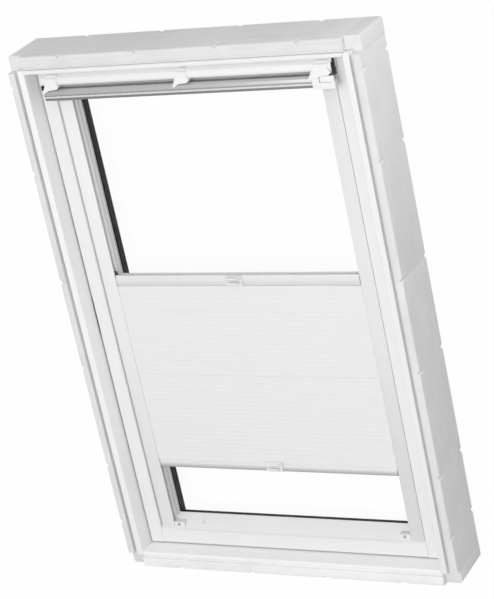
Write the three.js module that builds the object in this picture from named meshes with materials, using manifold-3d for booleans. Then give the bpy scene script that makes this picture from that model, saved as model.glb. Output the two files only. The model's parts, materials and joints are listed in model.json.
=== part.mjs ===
// Centre-pivot roof window in its insulating collar, fitted with a pleated blind.
// It stands upright and closed, as seen from the room.
// Millimetres. X runs to the right, Y outwards from the room, Z up the window.
// The origin lies under the collar, halfway along it and at the middle of its depth.

import * as THREE from 'three';
import { mergeVertices } from 'three/addons/utils/BufferGeometryUtils.js';
import Module from 'manifold-3d';

const wasm = await Module();
wasm.setup();

// Clearances
const SEAT_GAP = 0.3; // between pieces that touch
const RUN_GAP = 0.35; // between a pin and its bore
const OVERRUN = 6; // how far a cut runs past what it cuts
const MERGE_DISTANCE = 0.001; // vertices nearer than this are one

// Insulating collar of foam boards
const COLLAR_SIDE = 20; // thickness beside the frame
const COLLAR_END = 30; // thickness above and below the frame
const COLLAR_DEPTH = 132;
const COLLAR_SIDE_FACE = 16; // width of the room face beside the shadow groove
const COLLAR_END_FACE = 23;
const COLLAR_GROOVE_DEPTH = 14;
const COLLAR_EASE = 2; // bevel on the outer edges
const BOARD_JOINT_SHARE = 0.581; // height of the joint in each side, of the collar's height
const CORNER_REACH = 36; // corner block, along the top and bottom
const CORNER_RISE = 34; // corner block, up the sides
const CORNER_SET_BACK = 16; // corner block's room face behind the boards'
const CORNER_EASE = 4;
const NOTCH_SIZE = 8; // half width of a marking notch in a board's edge
const NOTCH_LENGTH = 30; // how far it runs along the outer face
const NOTCH_FACES = 4;
const SIDE_NOTCH_SHARES = [0.0945, 0.213, 0.412, 0.788, 0.945]; // of the collar's height
const END_NOTCH_SHARES = [-0.678, -0.227, 0.227, 0.678]; // of half the collar's width
const SCORE_WIDTH = 1.6; // scored line along the top board
const SCORE_FROM_EDGE = 9;

// Fixed frame
const FRAME_WIDTH = 780;
const FRAME_HEIGHT = 1178;
const FRAME_DEPTH = 112;
const FRAME_SIDE_WALL = 24;
const FRAME_BOTTOM_WALL = 13.5;
const FRAME_TOP_WALL = 9;
const SIDE_LIP = 19; // width of the room face of a side
const BOTTOM_LIP = 9;
const EDGE_EASE = 1.5; // bevel on painted edges
const OUTER_EASE = 4; // bevel on the outer edges of the frame's sides

// Sash
const SASH_SIDE_GAP = 3;
const SASH_BOTTOM_GAP = 3;
const SASH_TOP_GAP = 6;
const SASH_THICKNESS = 71;
const SASH_BACK_SET = 4; // sash's outer face in front of the frame's
const STILE_WIDTH = 33;
const SILL_HEIGHT = 34.5; // height of the bottom member's room face
const SILL_BEAD = 2.5;
const SLOT_MARK_PLACE_SHARE = -0.62; // drain slot in the sill, of half the sash's width
const SLOT_MARK_LENGTH = 12;
const SLOT_MARK_WIDTH = 3.5;
const SLOT_MARK_TURN = 0.6; // radians from straight up the slope
const HEAD_HEIGHT = 56; // height of the top member's room face
const LIP_THICKNESS = 5; // rim that the glass lies against
const GLASS_SET_BACK = 35; // from the sash's room face to the glass
const SIGHT_BOTTOM = 63.5; // daylight edge above the sash's bottom
const SIGHT_TOP = 66; // daylight edge below the sash's top

// Glazing
const PANE_THICKNESS = 4;
const PANE_SPACING = 20;
const PANE_GRIP = 15; // how far the panes run behind the daylight edge
const PANE_PLAY = 3;
const GLAZING_SINK = 9; // glazing's lower edges below the daylight edge at the sill
const LIP_REACH = 5; // a stile's lip inwards of the rail's inner face
const SPACER_REACH = 8; // glazing's dark edges inwards of the rail's inner face
const SPACER_WIDTH = 11;
const GASKET_THICKNESS = 1.4;

// Weather seal round the sash
const SEAL_WIDTH = 8;
const SEAL_THICKNESS = 2.2;
const SEAL_SET_BACK = 13; // in front of the sash's outer face
const SEAL_BOTTOM_THICKNESS = 1.5;

// Outer aluminium covers
const COVER_SHEET = 1.5;
const SASH_COVER_RISE = 8; // above the sash's outer face
const SASH_COVER_INSET = 3; // from the daylight edge to the cover on the glass
const COVER_FOOT = 18; // slope of the cover, from the glass up to its flat
const COVER_EDGE = 0.5; // cover set in from the sash's edge
const FRAME_COVER_RISE = 9;
const DRIP_DROP = 12; // sash cover's drip edge over the bottom of the frame
const HOOD_DROP = 16; // frame hood over the top of the sash

// Pivot hinges at mid-height
const PIVOT_SET_BACK = 25; // behind the sash's room face
const PIVOT_PLATE_WIDTH = 44;
const PIVOT_PLATE_HEIGHT = 120;
const PIVOT_PLATE_THICKNESS = 5;
const PIVOT_PIN_RADIUS = 9;
const PIVOT_PIN_REACH = 4; // pin's end into the frame's plate

// Lock in the top of the sash
const LOCK_LENGTH = 92;
const LOCK_WIDTH = 24;
const LOCK_DROP = 18;
const LOCK_SET_BACK = 41; // middle of the lock behind the sash's room face

// Guide rails of the blind
const RAIL_WIDTH = 35;
const RAIL_SET_BACK = 5; // behind the sash's room face
const RAIL_WALL = 1.6;
const RAIL_GROOVE_WIDTH = 2.4; // groove between a rail's face and the stile
const RAIL_GROOVE_DEPTH = 6;
const RAIL_FRONT_WALL = 3;
const SLOT_WIDTH = 12;
const SLOT_DEPTH = 13.5;
const RAIL_CAP_HEIGHT = 12.4;
const FOOT_LENGTH = 26;
const FOOT_DEPTH = 16;
const FOOT_HEIGHT = 17;

// Blind
const BAR_DEPTH = 18;
const UPPER_BAR_HEIGHT = 25;
const LOWER_BAR_HEIGHT = 18;
const BAR_PLAY = 1.3; // from a bar's end to the rail
const BAR_WALL = 1.5;
const BAR_BULGE = 1.6; // how far the room face of a bar stands out
// Room face of a bar, of its bulge and its height
const BULGE_SHARES = [[0, 0], [0.6, 0.2], [1, 0.5], [0.6, 0.8], [0, 1]];
const BAR_SLOT_WIDTH = 8;
const BAR_SLOT_DEPTH = 5;
const UPPER_BAR_REST_SHARE = 0.5713; // underside, of the daylight height
const LOWER_BAR_REST_SHARE = 0.1298;
const CELL_PITCH = 10.8; // honeycomb cell, drawn out
const CELL_DEPTH = 16;
const CELL_LAND = 6; // glued strip between two cells
const CLOTH_THICKNESS = 0.45;
const CLOTH_PLAY = 1.4; // from the cloth's edge to the rail
const GLIDER_HEIGHT = 28;
const GLIDER_REACH = 11;
const GLIDER_PLAY = 0.5;

// Handles on the blind's bars
const HANDLE_WIDTH = 38;
const HANDLE_HEIGHT = 24;
const HANDLE_BASE = 2.6;
const TAB_WIDTH = 30; // short tab at the handle's top
const TAB_REACH = 9;
const TAB_THICKNESS = 3;
const SHELF_WIDTH = 27; // longer shelf under it, for the fingers
const SHELF_REACH = 17;
const SHELF_THICKNESS = 2.6;
const SHELF_DROP = 14.5; // shelf's underside below the handle's top

// Control bar with its ventilation flap
const ROD_RADIUS = 3;
const ROD_STAND_OFF = 13; // hinge rod in front of the sash's room face
const ROD_DROP = 10; // hinge rod below the frame's opening
const KNUCKLE_HALF = 8; // half the block round the rod
const KNUCKLE_ROUND_SHARE = 0.7;
const FLAP_INSET = 26; // flap's ends, in from the frame's opening
const FLAP_REACH = 18.4; // flap's front, from the rod
const FLAP_FALL = 18; // flap's lower edge below the rod
const FLAP_WALL = 2.6;
// Front line of the flap, depth and height from the rod, of its reach
const FLAP_LINE_SHARES = [
  [0, 0.43], [-0.22, 0.41], [-0.62, 0.1], [-0.87, -0.16], [-0.98, -0.43], [-1, -0.76], [-0.87, -0.98],
];
const BRACKET_PLACE_SHARE = 0.5; // rod brackets, of half the flap's length
const BRACKET_WIDTH = 12;
const BRACKET_PLAY = 0.6;
const EAR_RADIUS = 6.5;
const GRIP_INSET = 4; // grip's ends, in from the flap's
const GRIP_HEIGHT = 25.5;
const GRIP_WALL = 2.2;
const GRIP_BACK = 6; // grip's back edge in front of the rod
const GRIP_DROP = 26; // grip's top below the rod
// Front line of the grip, depth and height from its upper back edge, of its height
const GRIP_LINE_SHARES = [
  [0, 0], [-0.39, -0.04], [-0.53, -0.235], [-0.57, -0.49],
  [-0.47, -0.61], [-0.49, -0.9], [-0.39, -1], [-0.235, -1],
];
const ARM_INSET = 26; // outer arms' middles, in from the flap's ends
const ARM_TOP = 7; // arm's upper end below the frame's opening
const ARM_FALL = 44.5; // arm's feet below the frame's opening
const ARM_REACH = 23.2; // arm's front, from the rod
const ARM_LEAN = 4; // arm's upper end, to the right of its feet's middle
const ARM_BACK = 10; // arm's back edge in front of the rod
// Side line of an arm, depth and height from the rod, of its reach
const ARM_SIDE_SHARES = [[-0.32, 0.26], [-0.53, 0.09], [-0.79, -0.22], [-0.93, -0.6], [-0.99, -1.16]];
// Front line of an arm, of half its width at the feet and of its height
const ARM_LINE_SHARES = [
  [-0.6, 0.48], [-0.84, 0.78], [-1, 0.98], [-0.9, 1], [-0.76, 0.97], [-0.25, 0.83],
  [0.25, 0.79], [0.73, 0.77], [0.97, 0.62], [0.76, 0.44],
];
const MIDDLE_ARM_TOP_HALF = 9;
const MIDDLE_ARM_FOOT_HALF = 20.5;
const LEFT_ARM_TOP_HALF = 12.7;
const LEFT_ARM_FOOT_HALF = 20.7;
const RIGHT_ARM_TOP_HALF = 14.5;
const RIGHT_ARM_FOOT_HALF = 26.5;
const RECESS_DEPTH = 18.5; // recess over each arm, from the room face
const RECESS_WIDTH_SHARE = 0.8; // of the arm's upper width
// Hook of the right arm, which holds the grip's end like a cap
const HOOK_PLACE = 18; // hook's left edge, to the left of the arm's middle
const HOOK_WIDTH = 15.5;
const HOOK_FALL = 63.3; // its underside below the frame's opening
const CAP_LENGTH = 49.5;
const CAP_HEIGHT = 13;
const CAP_EASE = 2.5;

const ROUND_STEPS = 24;
const ARC_STEPS = 8;

// Stations worked out from the sizes above, as depth from the room face, half width or height
const frameHalf = FRAME_WIDTH / 2;
const collarHalf = frameHalf + COLLAR_SIDE;
const collarTop = FRAME_HEIGHT + 2 * COLLAR_END;
const frameBottom = COLLAR_END;
const frameTop = COLLAR_END + FRAME_HEIGHT;
const openingHalf = frameHalf - FRAME_SIDE_WALL;
const openingBottom = frameBottom + FRAME_BOTTOM_WALL;
const openingTop = frameTop - FRAME_TOP_WALL;

const sashHalf = openingHalf - SASH_SIDE_GAP;
const sashBottom = openingBottom + SASH_BOTTOM_GAP;
const sashTop = openingTop - SASH_TOP_GAP;
const sashBack = FRAME_DEPTH - SASH_BACK_SET;
const sashFace = sashBack - SASH_THICKNESS;
const stileInner = sashHalf - STILE_WIDTH;
const sillFront = sashBottom + SILL_HEIGHT;
const headBottom = sashTop - HEAD_HEIGHT;

const railOuter = stileInner - SEAT_GAP;
const sightHalf = railOuter - RAIL_WIDTH;
const sightBottom = sashBottom + SIGHT_BOTTOM;
const sightTop = sashTop - SIGHT_TOP;

const glassFront = sashFace + GLASS_SET_BACK;
const glassBack = glassFront + 2 * PANE_THICKNESS + PANE_SPACING;
const lipBack = glassFront - GASKET_THICKNESS - 2 * SEAT_GAP;
const lipFront = lipBack - LIP_THICKNESS;
const paneHalf = sightHalf + PANE_GRIP;
const glazingBottom = sightBottom - GLAZING_SINK;
const paneBottom = glazingBottom - PANE_GRIP;
const paneTop = sightTop + PANE_GRIP;

const pivotHeight = (frameBottom + frameTop) / 2;
const pivotDepth = sashFace + PIVOT_SET_BACK;
const lockDepth = sashFace + LOCK_SET_BACK;

const railFront = sashFace + RAIL_SET_BACK;
const railBack = lipFront - SEAT_GAP;
const slotFront = railFront + RAIL_FRONT_WALL;
const slotMiddle = slotFront + SLOT_WIDTH / 2;
const capTop = headBottom - SEAT_GAP;
const railTop = capTop - RAIL_CAP_HEIGHT - SEAT_GAP;

const daylight = sightTop - sightBottom;
const upperBarBottom = sightBottom + UPPER_BAR_REST_SHARE * daylight;
const upperBarTop = upperBarBottom + UPPER_BAR_HEIGHT;
const lowerBarBottom = sightBottom + LOWER_BAR_REST_SHARE * daylight;
const lowerBarTop = lowerBarBottom + LOWER_BAR_HEIGHT;
const barFront = slotMiddle - BAR_DEPTH / 2;
const barBack = slotMiddle + BAR_DEPTH / 2;
const clothMiddle = (lowerBarTop + upperBarBottom) / 2;

const flapHalf = openingHalf - FLAP_INSET;
const gripHalf = flapHalf - GRIP_INSET;
const armPlace = flapHalf - ARM_INSET;
const rodHeight = openingTop - ROD_DROP;
const rodDepth = sashFace - ROD_STAND_OFF;

// Geometry helpers

function shapeOf(outline, holes) {
  const shape = new THREE.Shape(outline.map(([u, v]) => new THREE.Vector2(u, v)));
  for (const hole of holes) {
    shape.holes.push(new THREE.Path(hole.map(([u, v]) => new THREE.Vector2(u, v))));
  }
  return shape;
}

function extruded(outline, length, holes) {
  return new THREE.ExtrudeGeometry(shapeOf(outline, holes), { depth: length, bevelEnabled: false });
}

// An outline in width and depth, drawn up from one height to another.
function column(outline, low, high, holes = []) {
  const geometry = extruded(outline, high - low, holes);
  return geometry.translate(0, 0, low);
}

// An outline in depth and height, drawn along X.
function beam(outline, left, right, holes = []) {
  const geometry = extruded(outline, right - left, holes);
  geometry.applyMatrix4(new THREE.Matrix4().makeBasis(
    new THREE.Vector3(0, 1, 0), new THREE.Vector3(0, 0, 1), new THREE.Vector3(1, 0, 0)));
  return geometry.translate(left, 0, 0);
}

// An outline in width and height, drawn through a range of depth.
function panel(outline, front, back, holes = []) {
  const geometry = extruded(outline, back - front, holes);
  geometry.rotateX(Math.PI / 2);
  return geometry.translate(0, back, 0);
}

function block(left, right, front, back, low, high) {
  return column(rectangle(left, front, right, back), low, high);
}

function rod(radius, left, right, depth, height) {
  const geometry = new THREE.CylinderGeometry(radius, radius, right - left, ROUND_STEPS);
  geometry.rotateZ(Math.PI / 2);
  return geometry.translate((left + right) / 2, depth, height);
}

function rectangle(u0, v0, u1, v1) {
  return [[u0, v0], [u1, v0], [u1, v1], [u0, v1]];
}

function mirrored(outline, side) {
  return outline.map(([u, v]) => [side * u, v]);
}

function arc(u, v, radius, from, to, steps = ARC_STEPS) {
  const points = [];
  for (let i = 0; i <= steps; i += 1) {
    const angle = from + (to - from) * i / steps;
    points.push([u + radius * Math.cos(angle), v + radius * Math.sin(angle)]);
  }
  return points;
}

// A plate outline with round ends, upright about a middle.
function roundEnded(u, v, width, height) {
  const radius = width / 2;
  const reach = height / 2 - radius;
  return [
    ...arc(u, v + reach, radius, 0, Math.PI),
    ...arc(u, v - reach, radius, Math.PI, 2 * Math.PI),
  ];
}

function circle(u, v, radius) {
  return arc(u, v, radius, 0, 2 * Math.PI, ROUND_STEPS).slice(0, ROUND_STEPS);
}

// The same outline moved outwards all round by a clearance.
function grown(outline, clearance) {
  const area = THREE.ShapeUtils.area(outline.map(([x, y]) => ({ x, y })));
  const turn = Math.sign(area);
  const count = outline.length;
  return outline.map(([u, v], i) => {
    const [pu, pv] = outline[(i + count - 1) % count];
    const [nu, nv] = outline[(i + 1) % count];
    const before = new THREE.Vector2(v - pv, pu - u).normalize();
    const after = new THREE.Vector2(nv - v, u - nu).normalize();
    const scale = turn * clearance / (1 + before.dot(after));
    return [u + (before.x + after.x) * scale, v + (before.y + after.y) * scale];
  });
}

// A sheet's outline: an open line, and the same line moved to its right by the sheet's thickness.
function strip(line, thickness) {
  const last = line.length - 1;
  const across = (from, to) => new THREE.Vector2(to[1] - from[1], from[0] - to[0]).normalize();
  const inner = line.map(([u, v], i) => {
    const before = across(line[Math.max(i - 1, 0)], line[Math.max(i, 1)]);
    const after = across(line[Math.min(i, last - 1)], line[Math.min(i + 1, last)]);
    const scale = thickness / (1 + before.dot(after));
    return [u + (before.x + after.x) * scale, v + (before.y + after.y) * scale];
  });
  return [...line, ...inner.reverse()];
}

function solidOf(geometry) {
  const bare = geometry.clone();
  bare.deleteAttribute('normal');
  bare.deleteAttribute('uv');
  const merged = mergeVertices(bare, MERGE_DISTANCE);
  return new wasm.Manifold(new wasm.Mesh({
    numProp: 3,
    vertProperties: new Float32Array(merged.attributes.position.array),
    triVerts: new Uint32Array(merged.index.array),
  }));
}

function geometryOf(solid) {
  const mesh = solid.getMesh();
  const geometry = new THREE.BufferGeometry();
  geometry.setAttribute('position', new THREE.BufferAttribute(new Float32Array(mesh.vertProperties), 3));
  geometry.setIndex(new THREE.BufferAttribute(new Uint32Array(mesh.triVerts), 1));
  geometry.computeVertexNormals();
  return geometry;
}

function cut(geometry, ...tools) {
  let solid = solidOf(geometry);
  for (const tool of tools) {
    solid = solid.subtract(solidOf(tool));
  }
  return geometryOf(solid);
}

function joined(geometry, ...others) {
  let solid = solidOf(geometry);
  for (const other of others) {
    solid = solid.add(solidOf(other));
  }
  return geometryOf(solid);
}

function common(geometry, other) {
  return geometryOf(solidOf(geometry).intersect(solidOf(other)));
}

// A named mesh whose own origin is its middle.
function piece(name, geometry, finish) {
  geometry.computeBoundingBox();
  const middle = geometry.boundingBox.getCenter(new THREE.Vector3());
  geometry.translate(-middle.x, -middle.y, -middle.z);
  const mesh = new THREE.Mesh(geometry, new THREE.MeshStandardMaterial(finish));
  mesh.name = name;
  mesh.position.copy(middle);
  return mesh;
}

// A group with its origin where it turns or seats, holding pieces placed in the window.
function assembly(origin, ...members) {
  const group = new THREE.Group();
  group.position.copy(origin);
  for (const member of members) {
    member.position.sub(origin);
    group.add(member);
  }
  return group;
}

const sideName = (side) => (side < 0 ? 'left' : 'right');

// Finishes
const FOAM = { color: 0xe9e9e8, roughness: 0.9, metalness: 0 };
const WHITE_PAINT = { color: 0xf1f2f1, roughness: 0.45, metalness: 0 };
const SASH_WHITE = { color: 0xf3f4f3, roughness: 0.42, metalness: 0 };
const WHITE_PLASTIC = { color: 0xf2f3f2, roughness: 0.38, metalness: 0 };
const WHITE_METAL = { color: 0xf0f1f0, roughness: 0.35, metalness: 0.1 };
const GREY_METAL = { color: 0xb4b7b9, roughness: 0.38, metalness: 0.75 };
const COVER_METAL = { color: 0x55595c, roughness: 0.5, metalness: 0.6 };
const STEEL = { color: 0x9a9da0, roughness: 0.4, metalness: 0.9 };
const BLACK_RUBBER = { color: 0x17181a, roughness: 0.8, metalness: 0 };
const DARK_PLASTIC = { color: 0x4a4c4e, roughness: 0.55, metalness: 0 };
const GLASS = { color: 0xe8f2f0, roughness: 0.03, metalness: 0, transparent: true, opacity: 0.15 };
const CLOTH = { color: 0xf4f4f2, roughness: 0.95, metalness: 0 };

// Insulating collar

function notch(width, depth, height, inwards) {
  const geometry = new THREE.ConeGeometry(NOTCH_SIZE, NOTCH_LENGTH + OVERRUN, NOTCH_FACES);
  geometry.rotateX(inwards > 0 ? 0 : Math.PI);
  const middle = depth + inwards * (NOTCH_LENGTH - OVERRUN) / 2;
  return geometry.translate(width, middle, height);
}

function notchPair(width, height) {
  return [notch(width, 0, height, 1), notch(width, COLLAR_DEPTH, height, -1)];
}

function collarSideOutline() {
  return [
    [collarHalf, COLLAR_EASE],
    [collarHalf, COLLAR_DEPTH - COLLAR_EASE],
    [collarHalf - COLLAR_EASE, COLLAR_DEPTH],
    [frameHalf + SEAT_GAP, COLLAR_DEPTH],
    [frameHalf + SEAT_GAP, COLLAR_GROOVE_DEPTH],
    [collarHalf - COLLAR_SIDE_FACE, COLLAR_GROOVE_DEPTH],
    [collarHalf - COLLAR_SIDE_FACE, 0],
    [collarHalf - COLLAR_EASE, 0],
  ];
}

function collarEndOutline(outer, inner, faceEdge) {
  const ease = Math.sign(inner - outer) * COLLAR_EASE;
  return [
    [0, outer + ease],
    [COLLAR_EASE, outer],
    [COLLAR_DEPTH - COLLAR_EASE, outer],
    [COLLAR_DEPTH, outer + ease],
    [COLLAR_DEPTH, inner],
    [COLLAR_GROOVE_DEPTH, inner],
    [COLLAR_GROOVE_DEPTH, faceEdge],
    [0, faceEdge],
  ];
}

function collarSideBoard(side, name, low, high) {
  const notches = [...SIDE_NOTCH_SHARES, BOARD_JOINT_SHARE]
    .map((share) => share * collarTop)
    .filter((height) => height > low - NOTCH_SIZE && height < high + NOTCH_SIZE)
    .flatMap((height) => notchPair(side * collarHalf, height));
  const board = column(mirrored(collarSideOutline(), side), low, high);
  return piece(`collar_${sideName(side)}_${name}`, cut(board, ...notches), FOAM);
}

function collarEndBoard(name, outer, inner, faceEdge, extraCuts) {
  const reach = collarHalf - CORNER_REACH - SEAT_GAP;
  const notches = END_NOTCH_SHARES.flatMap((share) => notchPair(share * collarHalf, outer));
  const board = beam(collarEndOutline(outer, inner, faceEdge), -reach, reach);
  return piece(name, cut(board, ...notches, ...extraCuts), FOAM);
}

function scoredLine() {
  const middle = collarTop - SCORE_FROM_EDGE;
  const outline = [
    [-SCORE_WIDTH, middle + SCORE_WIDTH],
    [SCORE_WIDTH / 2, middle],
    [-SCORE_WIDTH, middle - SCORE_WIDTH],
  ];
  return beam(outline, -collarHalf, collarHalf);
}

// An L-shaped block that closes the collar's corner round the frame's corner.
function cornerBlock(side, name, outer, inner) {
  const inwards = Math.sign(inner - outer);
  const width = (distance) => side * distance;
  const ease = CORNER_EASE;
  const outline = [
    [width(collarHalf - ease), outer],
    [width(collarHalf - CORNER_REACH), outer],
    [width(collarHalf - CORNER_REACH), inner],
    [width(frameHalf + SEAT_GAP), inner],
    [width(frameHalf + SEAT_GAP), outer + inwards * CORNER_RISE],
    [width(collarHalf), outer + inwards * CORNER_RISE],
    [width(collarHalf), outer + inwards * ease],
  ];
  const geometry = panel(outline, CORNER_SET_BACK, COLLAR_DEPTH);
  return piece(`collar_corner_${name}_${sideName(side)}`, geometry, FOAM);
}

function collar() {
  const joint = BOARD_JOINT_SHARE * collarTop;
  const bottomInner = frameBottom - SEAT_GAP;
  const topInner = frameTop + SEAT_GAP;
  const members = [
    collarEndBoard('collar_bottom', 0, bottomInner, COLLAR_END_FACE, []),
    collarEndBoard('collar_top', collarTop, topInner, collarTop - COLLAR_END_FACE, [scoredLine()]),
  ];
  for (const side of [-1, 1]) {
    members.push(collarSideBoard(side, 'lower', CORNER_RISE + SEAT_GAP, joint));
    members.push(collarSideBoard(side, 'upper', joint + SEAT_GAP, collarTop - CORNER_RISE - SEAT_GAP));
    members.push(cornerBlock(side, 'bottom', 0, bottomInner));
    members.push(cornerBlock(side, 'top', collarTop, topInner));
  }
  return members;
}

// Fixed frame

function frameSideOutline() {
  const lipEdge = frameHalf - SIDE_LIP;
  return [
    [frameHalf, OUTER_EASE],
    [frameHalf, FRAME_DEPTH],
    [openingHalf, FRAME_DEPTH],
    [openingHalf, sashFace],
    [lipEdge, EDGE_EASE],
    [lipEdge + EDGE_EASE, 0],
    [frameHalf - OUTER_EASE, 0],
  ];
}

// How far a top or bottom member runs before the side members cut it to length.
function betweenSides(half) {
  const reach = half - 2 * EDGE_EASE;
  return [-reach, reach];
}

function frameSideCutters() {
  return [-1, 1].map((side) => {
    const outline = mirrored(grown(frameSideOutline(), SEAT_GAP), side);
    return column(outline, frameBottom - OVERRUN, frameTop + OVERRUN);
  });
}

function pivotOutline(clearance) {
  const width = PIVOT_PLATE_WIDTH + 2 * clearance;
  const height = PIVOT_PLATE_HEIGHT + 2 * clearance;
  return roundEnded(pivotDepth, pivotHeight, width, height);
}

function ordered(a, b) {
  return a < b ? [a, b] : [b, a];
}

function frameSide(side) {
  const depth = PIVOT_PLATE_THICKNESS + SEAT_GAP;
  const pocket = beam(pivotOutline(SEAT_GAP),
    ...ordered(side * (openingHalf - OVERRUN), side * (openingHalf + depth)));
  const member = column(mirrored(frameSideOutline(), side), frameBottom, frameTop);
  return piece(`frame_${sideName(side)}`, cut(member, pocket), WHITE_PAINT);
}

function frameBottomMember() {
  const lipEdge = frameBottom + BOTTOM_LIP;
  const outline = [
    [0, frameBottom + EDGE_EASE],
    [EDGE_EASE, frameBottom],
    [FRAME_DEPTH, frameBottom],
    [FRAME_DEPTH, openingBottom],
    [sashFace, openingBottom],
    [EDGE_EASE, lipEdge],
    [0, lipEdge - EDGE_EASE],
  ];
  const member = beam(outline, ...betweenSides(frameHalf - OUTER_EASE));
  return piece('frame_bottom', cut(member, ...frameSideCutters()), WHITE_PAINT);
}

function frameTopMember() {
  const outline = [
    [0, frameTop - EDGE_EASE],
    [0, openingTop + EDGE_EASE],
    [EDGE_EASE, openingTop],
    [FRAME_DEPTH, openingTop],
    [FRAME_DEPTH, frameTop],
    [EDGE_EASE, frameTop],
  ];
  const member = beam(outline, ...betweenSides(frameHalf - OUTER_EASE));
  return piece('frame_top', cut(member, ...frameSideCutters()), WHITE_PAINT);
}

// Pivot hinges: the plate on the sash carries the pin, the frame's plate has the bore.

function framePivotPlate(side) {
  const bore = circle(pivotDepth, pivotHeight, PIVOT_PIN_RADIUS + RUN_GAP);
  const near = side * openingHalf;
  const far = side * (openingHalf + PIVOT_PLATE_THICKNESS);
  const plate = beam(pivotOutline(0), ...ordered(near, far), [bore]);
  return piece(`pivot_plate_frame_${sideName(side)}`, plate, STEEL);
}

function sashPivotPlate(side) {
  const inner = sashHalf - PIVOT_PLATE_THICKNESS;
  const plate = beam(pivotOutline(0), ...ordered(side * inner, side * sashHalf));
  const pinEnd = openingHalf + PIVOT_PIN_REACH;
  const pin = rod(PIVOT_PIN_RADIUS, ...ordered(side * (inner + PIVOT_PLATE_THICKNESS / 2), side * pinEnd),
    pivotDepth, pivotHeight);
  return piece(`pivot_pin_sash_${sideName(side)}`, joined(plate, pin), STEEL);
}

// Outer covers

// The part of a cover between the two mitre lines that leave a ring's corners.
function mitreZone(edge, outer, inner, inset) {
  const zones = {
    left: [[-outer.half, outer.low + inset], [-inner.half, inner.low + inset],
      [-inner.half, inner.high - inset], [-outer.half, outer.high - inset]],
    right: [[outer.half, outer.low + inset], [inner.half, inner.low + inset],
      [inner.half, inner.high - inset], [outer.half, outer.high - inset]],
    bottom: [[-outer.half + inset, outer.low], [outer.half - inset, outer.low],
      [inner.half - inset, inner.low], [-inner.half + inset, inner.low]],
    top: [[-outer.half + inset, outer.high], [outer.half - inset, outer.high],
      [inner.half - inset, inner.high], [-inner.half + inset, inner.high]],
  };
  return zones[edge];
}

// Sheet cover of the sash: a foot on the glass, a slope, a flat and an outer leg.
function sashCoverOutline(inner, outer) {
  const away = Math.sign(outer - inner);
  const foot = glassBack + SEAT_GAP;
  const flat = sashBack + SASH_COVER_RISE;
  const leg = sashBack + SEAT_GAP;
  const sheet = away * COVER_SHEET;
  return [
    [inner, foot],
    [inner, foot + COVER_SHEET],
    [inner + away * COVER_FOOT, flat],
    [outer, flat],
    [outer, leg],
    [outer - sheet, leg],
    [outer - sheet, flat - COVER_SHEET],
    [inner + away * COVER_FOOT + sheet / 2, flat - COVER_SHEET],
    [inner + sheet * 2, foot],
  ];
}

function sashCoverRing() {
  const outer = {
    half: sashHalf - COVER_EDGE,
    low: sashBottom + COVER_EDGE,
    high: sashTop - COVER_EDGE,
  };
  const inner = {
    half: sightHalf + SASH_COVER_INSET,
    low: glazingBottom - SASH_COVER_INSET,
    high: sightTop + SASH_COVER_INSET,
  };
  return { outer, inner };
}

function swapped(outline) {
  return outline.map(([u, v]) => [v, u]);
}

function sashCover(edge) {
  const { outer, inner } = sashCoverRing();
  const front = glassBack - OVERRUN;
  const back = sashBack + SASH_COVER_RISE + OVERRUN;
  const zone = panel(mitreZone(edge, outer, inner, SEAT_GAP / 2), front, back);
  const side = { left: -1, right: 1, bottom: 0, top: 0 }[edge];
  let geometry;
  if (side) {
    geometry = column(mirrored(sashCoverOutline(inner.half, outer.half), side), outer.low, outer.high);
  } else {
    const [from, to] = edge === 'bottom' ? [inner.low, outer.low] : [inner.high, outer.high];
    geometry = beam(swapped(sashCoverOutline(from, to)), -outer.half, outer.half);
  }
  geometry = common(geometry, zone);
  if (edge === 'bottom') {
    geometry = joined(geometry, dripEdge());
  }
  return piece(`sash_cover_${edge}`, geometry, COVER_METAL);
}

// The bottom cover runs on past the sash, over the frame, so that water drips off outside.
function dripEdge() {
  const flat = sashBack + SASH_COVER_RISE;
  const low = sashBottom + COVER_EDGE;
  const outline = rectangle(flat - COVER_SHEET, low - DRIP_DROP, flat, low + COVER_SHEET);
  const reach = sashHalf - COVER_EDGE - 2 * COVER_SHEET;
  return beam(outline, -reach, reach);
}

function frameCoverOutline(inner, outer) {
  const away = Math.sign(outer - inner);
  const foot = FRAME_DEPTH + SEAT_GAP;
  const flat = FRAME_DEPTH + FRAME_COVER_RISE;
  const sheet = away * COVER_SHEET;
  return [
    [inner, foot],
    [inner, flat],
    [outer, flat],
    [outer, foot],
    [outer - sheet, foot],
    [outer - sheet, flat - COVER_SHEET],
    [inner + sheet, flat - COVER_SHEET],
    [inner + sheet, foot],
  ];
}

function frameSideCover(side) {
  const outline = frameCoverOutline(openingHalf + COVER_EDGE, frameHalf - COVER_EDGE);
  const low = frameBottom + COVER_EDGE;
  const high = frameTop - COVER_EDGE;
  return piece(`frame_cover_${sideName(side)}`, column(mirrored(outline, side), low, high), COVER_METAL);
}

// A low flat cover, so that the sash's drip edge passes over it.
function frameBottomCover() {
  const reach = openingHalf + COVER_EDGE - SEAT_GAP;
  const front = FRAME_DEPTH + SEAT_GAP;
  const outline = rectangle(front, frameBottom + COVER_EDGE, front + COVER_SHEET, openingBottom - COVER_EDGE);
  return piece('frame_cover_bottom', beam(outline, -reach, reach), COVER_METAL);
}

// The top cover reaches down over the sash's head like a hood.
function frameTopCover() {
  const reach = openingHalf + COVER_EDGE - SEAT_GAP;
  const foot = FRAME_DEPTH + SEAT_GAP;
  const flat = FRAME_DEPTH + FRAME_COVER_RISE;
  const outline = [
    [foot, frameTop - COVER_EDGE],
    [flat, frameTop - COVER_EDGE],
    [flat, openingTop - HOOD_DROP],
    [flat - COVER_SHEET, openingTop - HOOD_DROP],
    [flat - COVER_SHEET, frameTop - COVER_EDGE - COVER_SHEET],
    [foot, frameTop - COVER_EDGE - COVER_SHEET],
  ];
  return piece('frame_cover_top', beam(outline, -reach, reach), COVER_METAL);
}

// Sash

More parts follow.
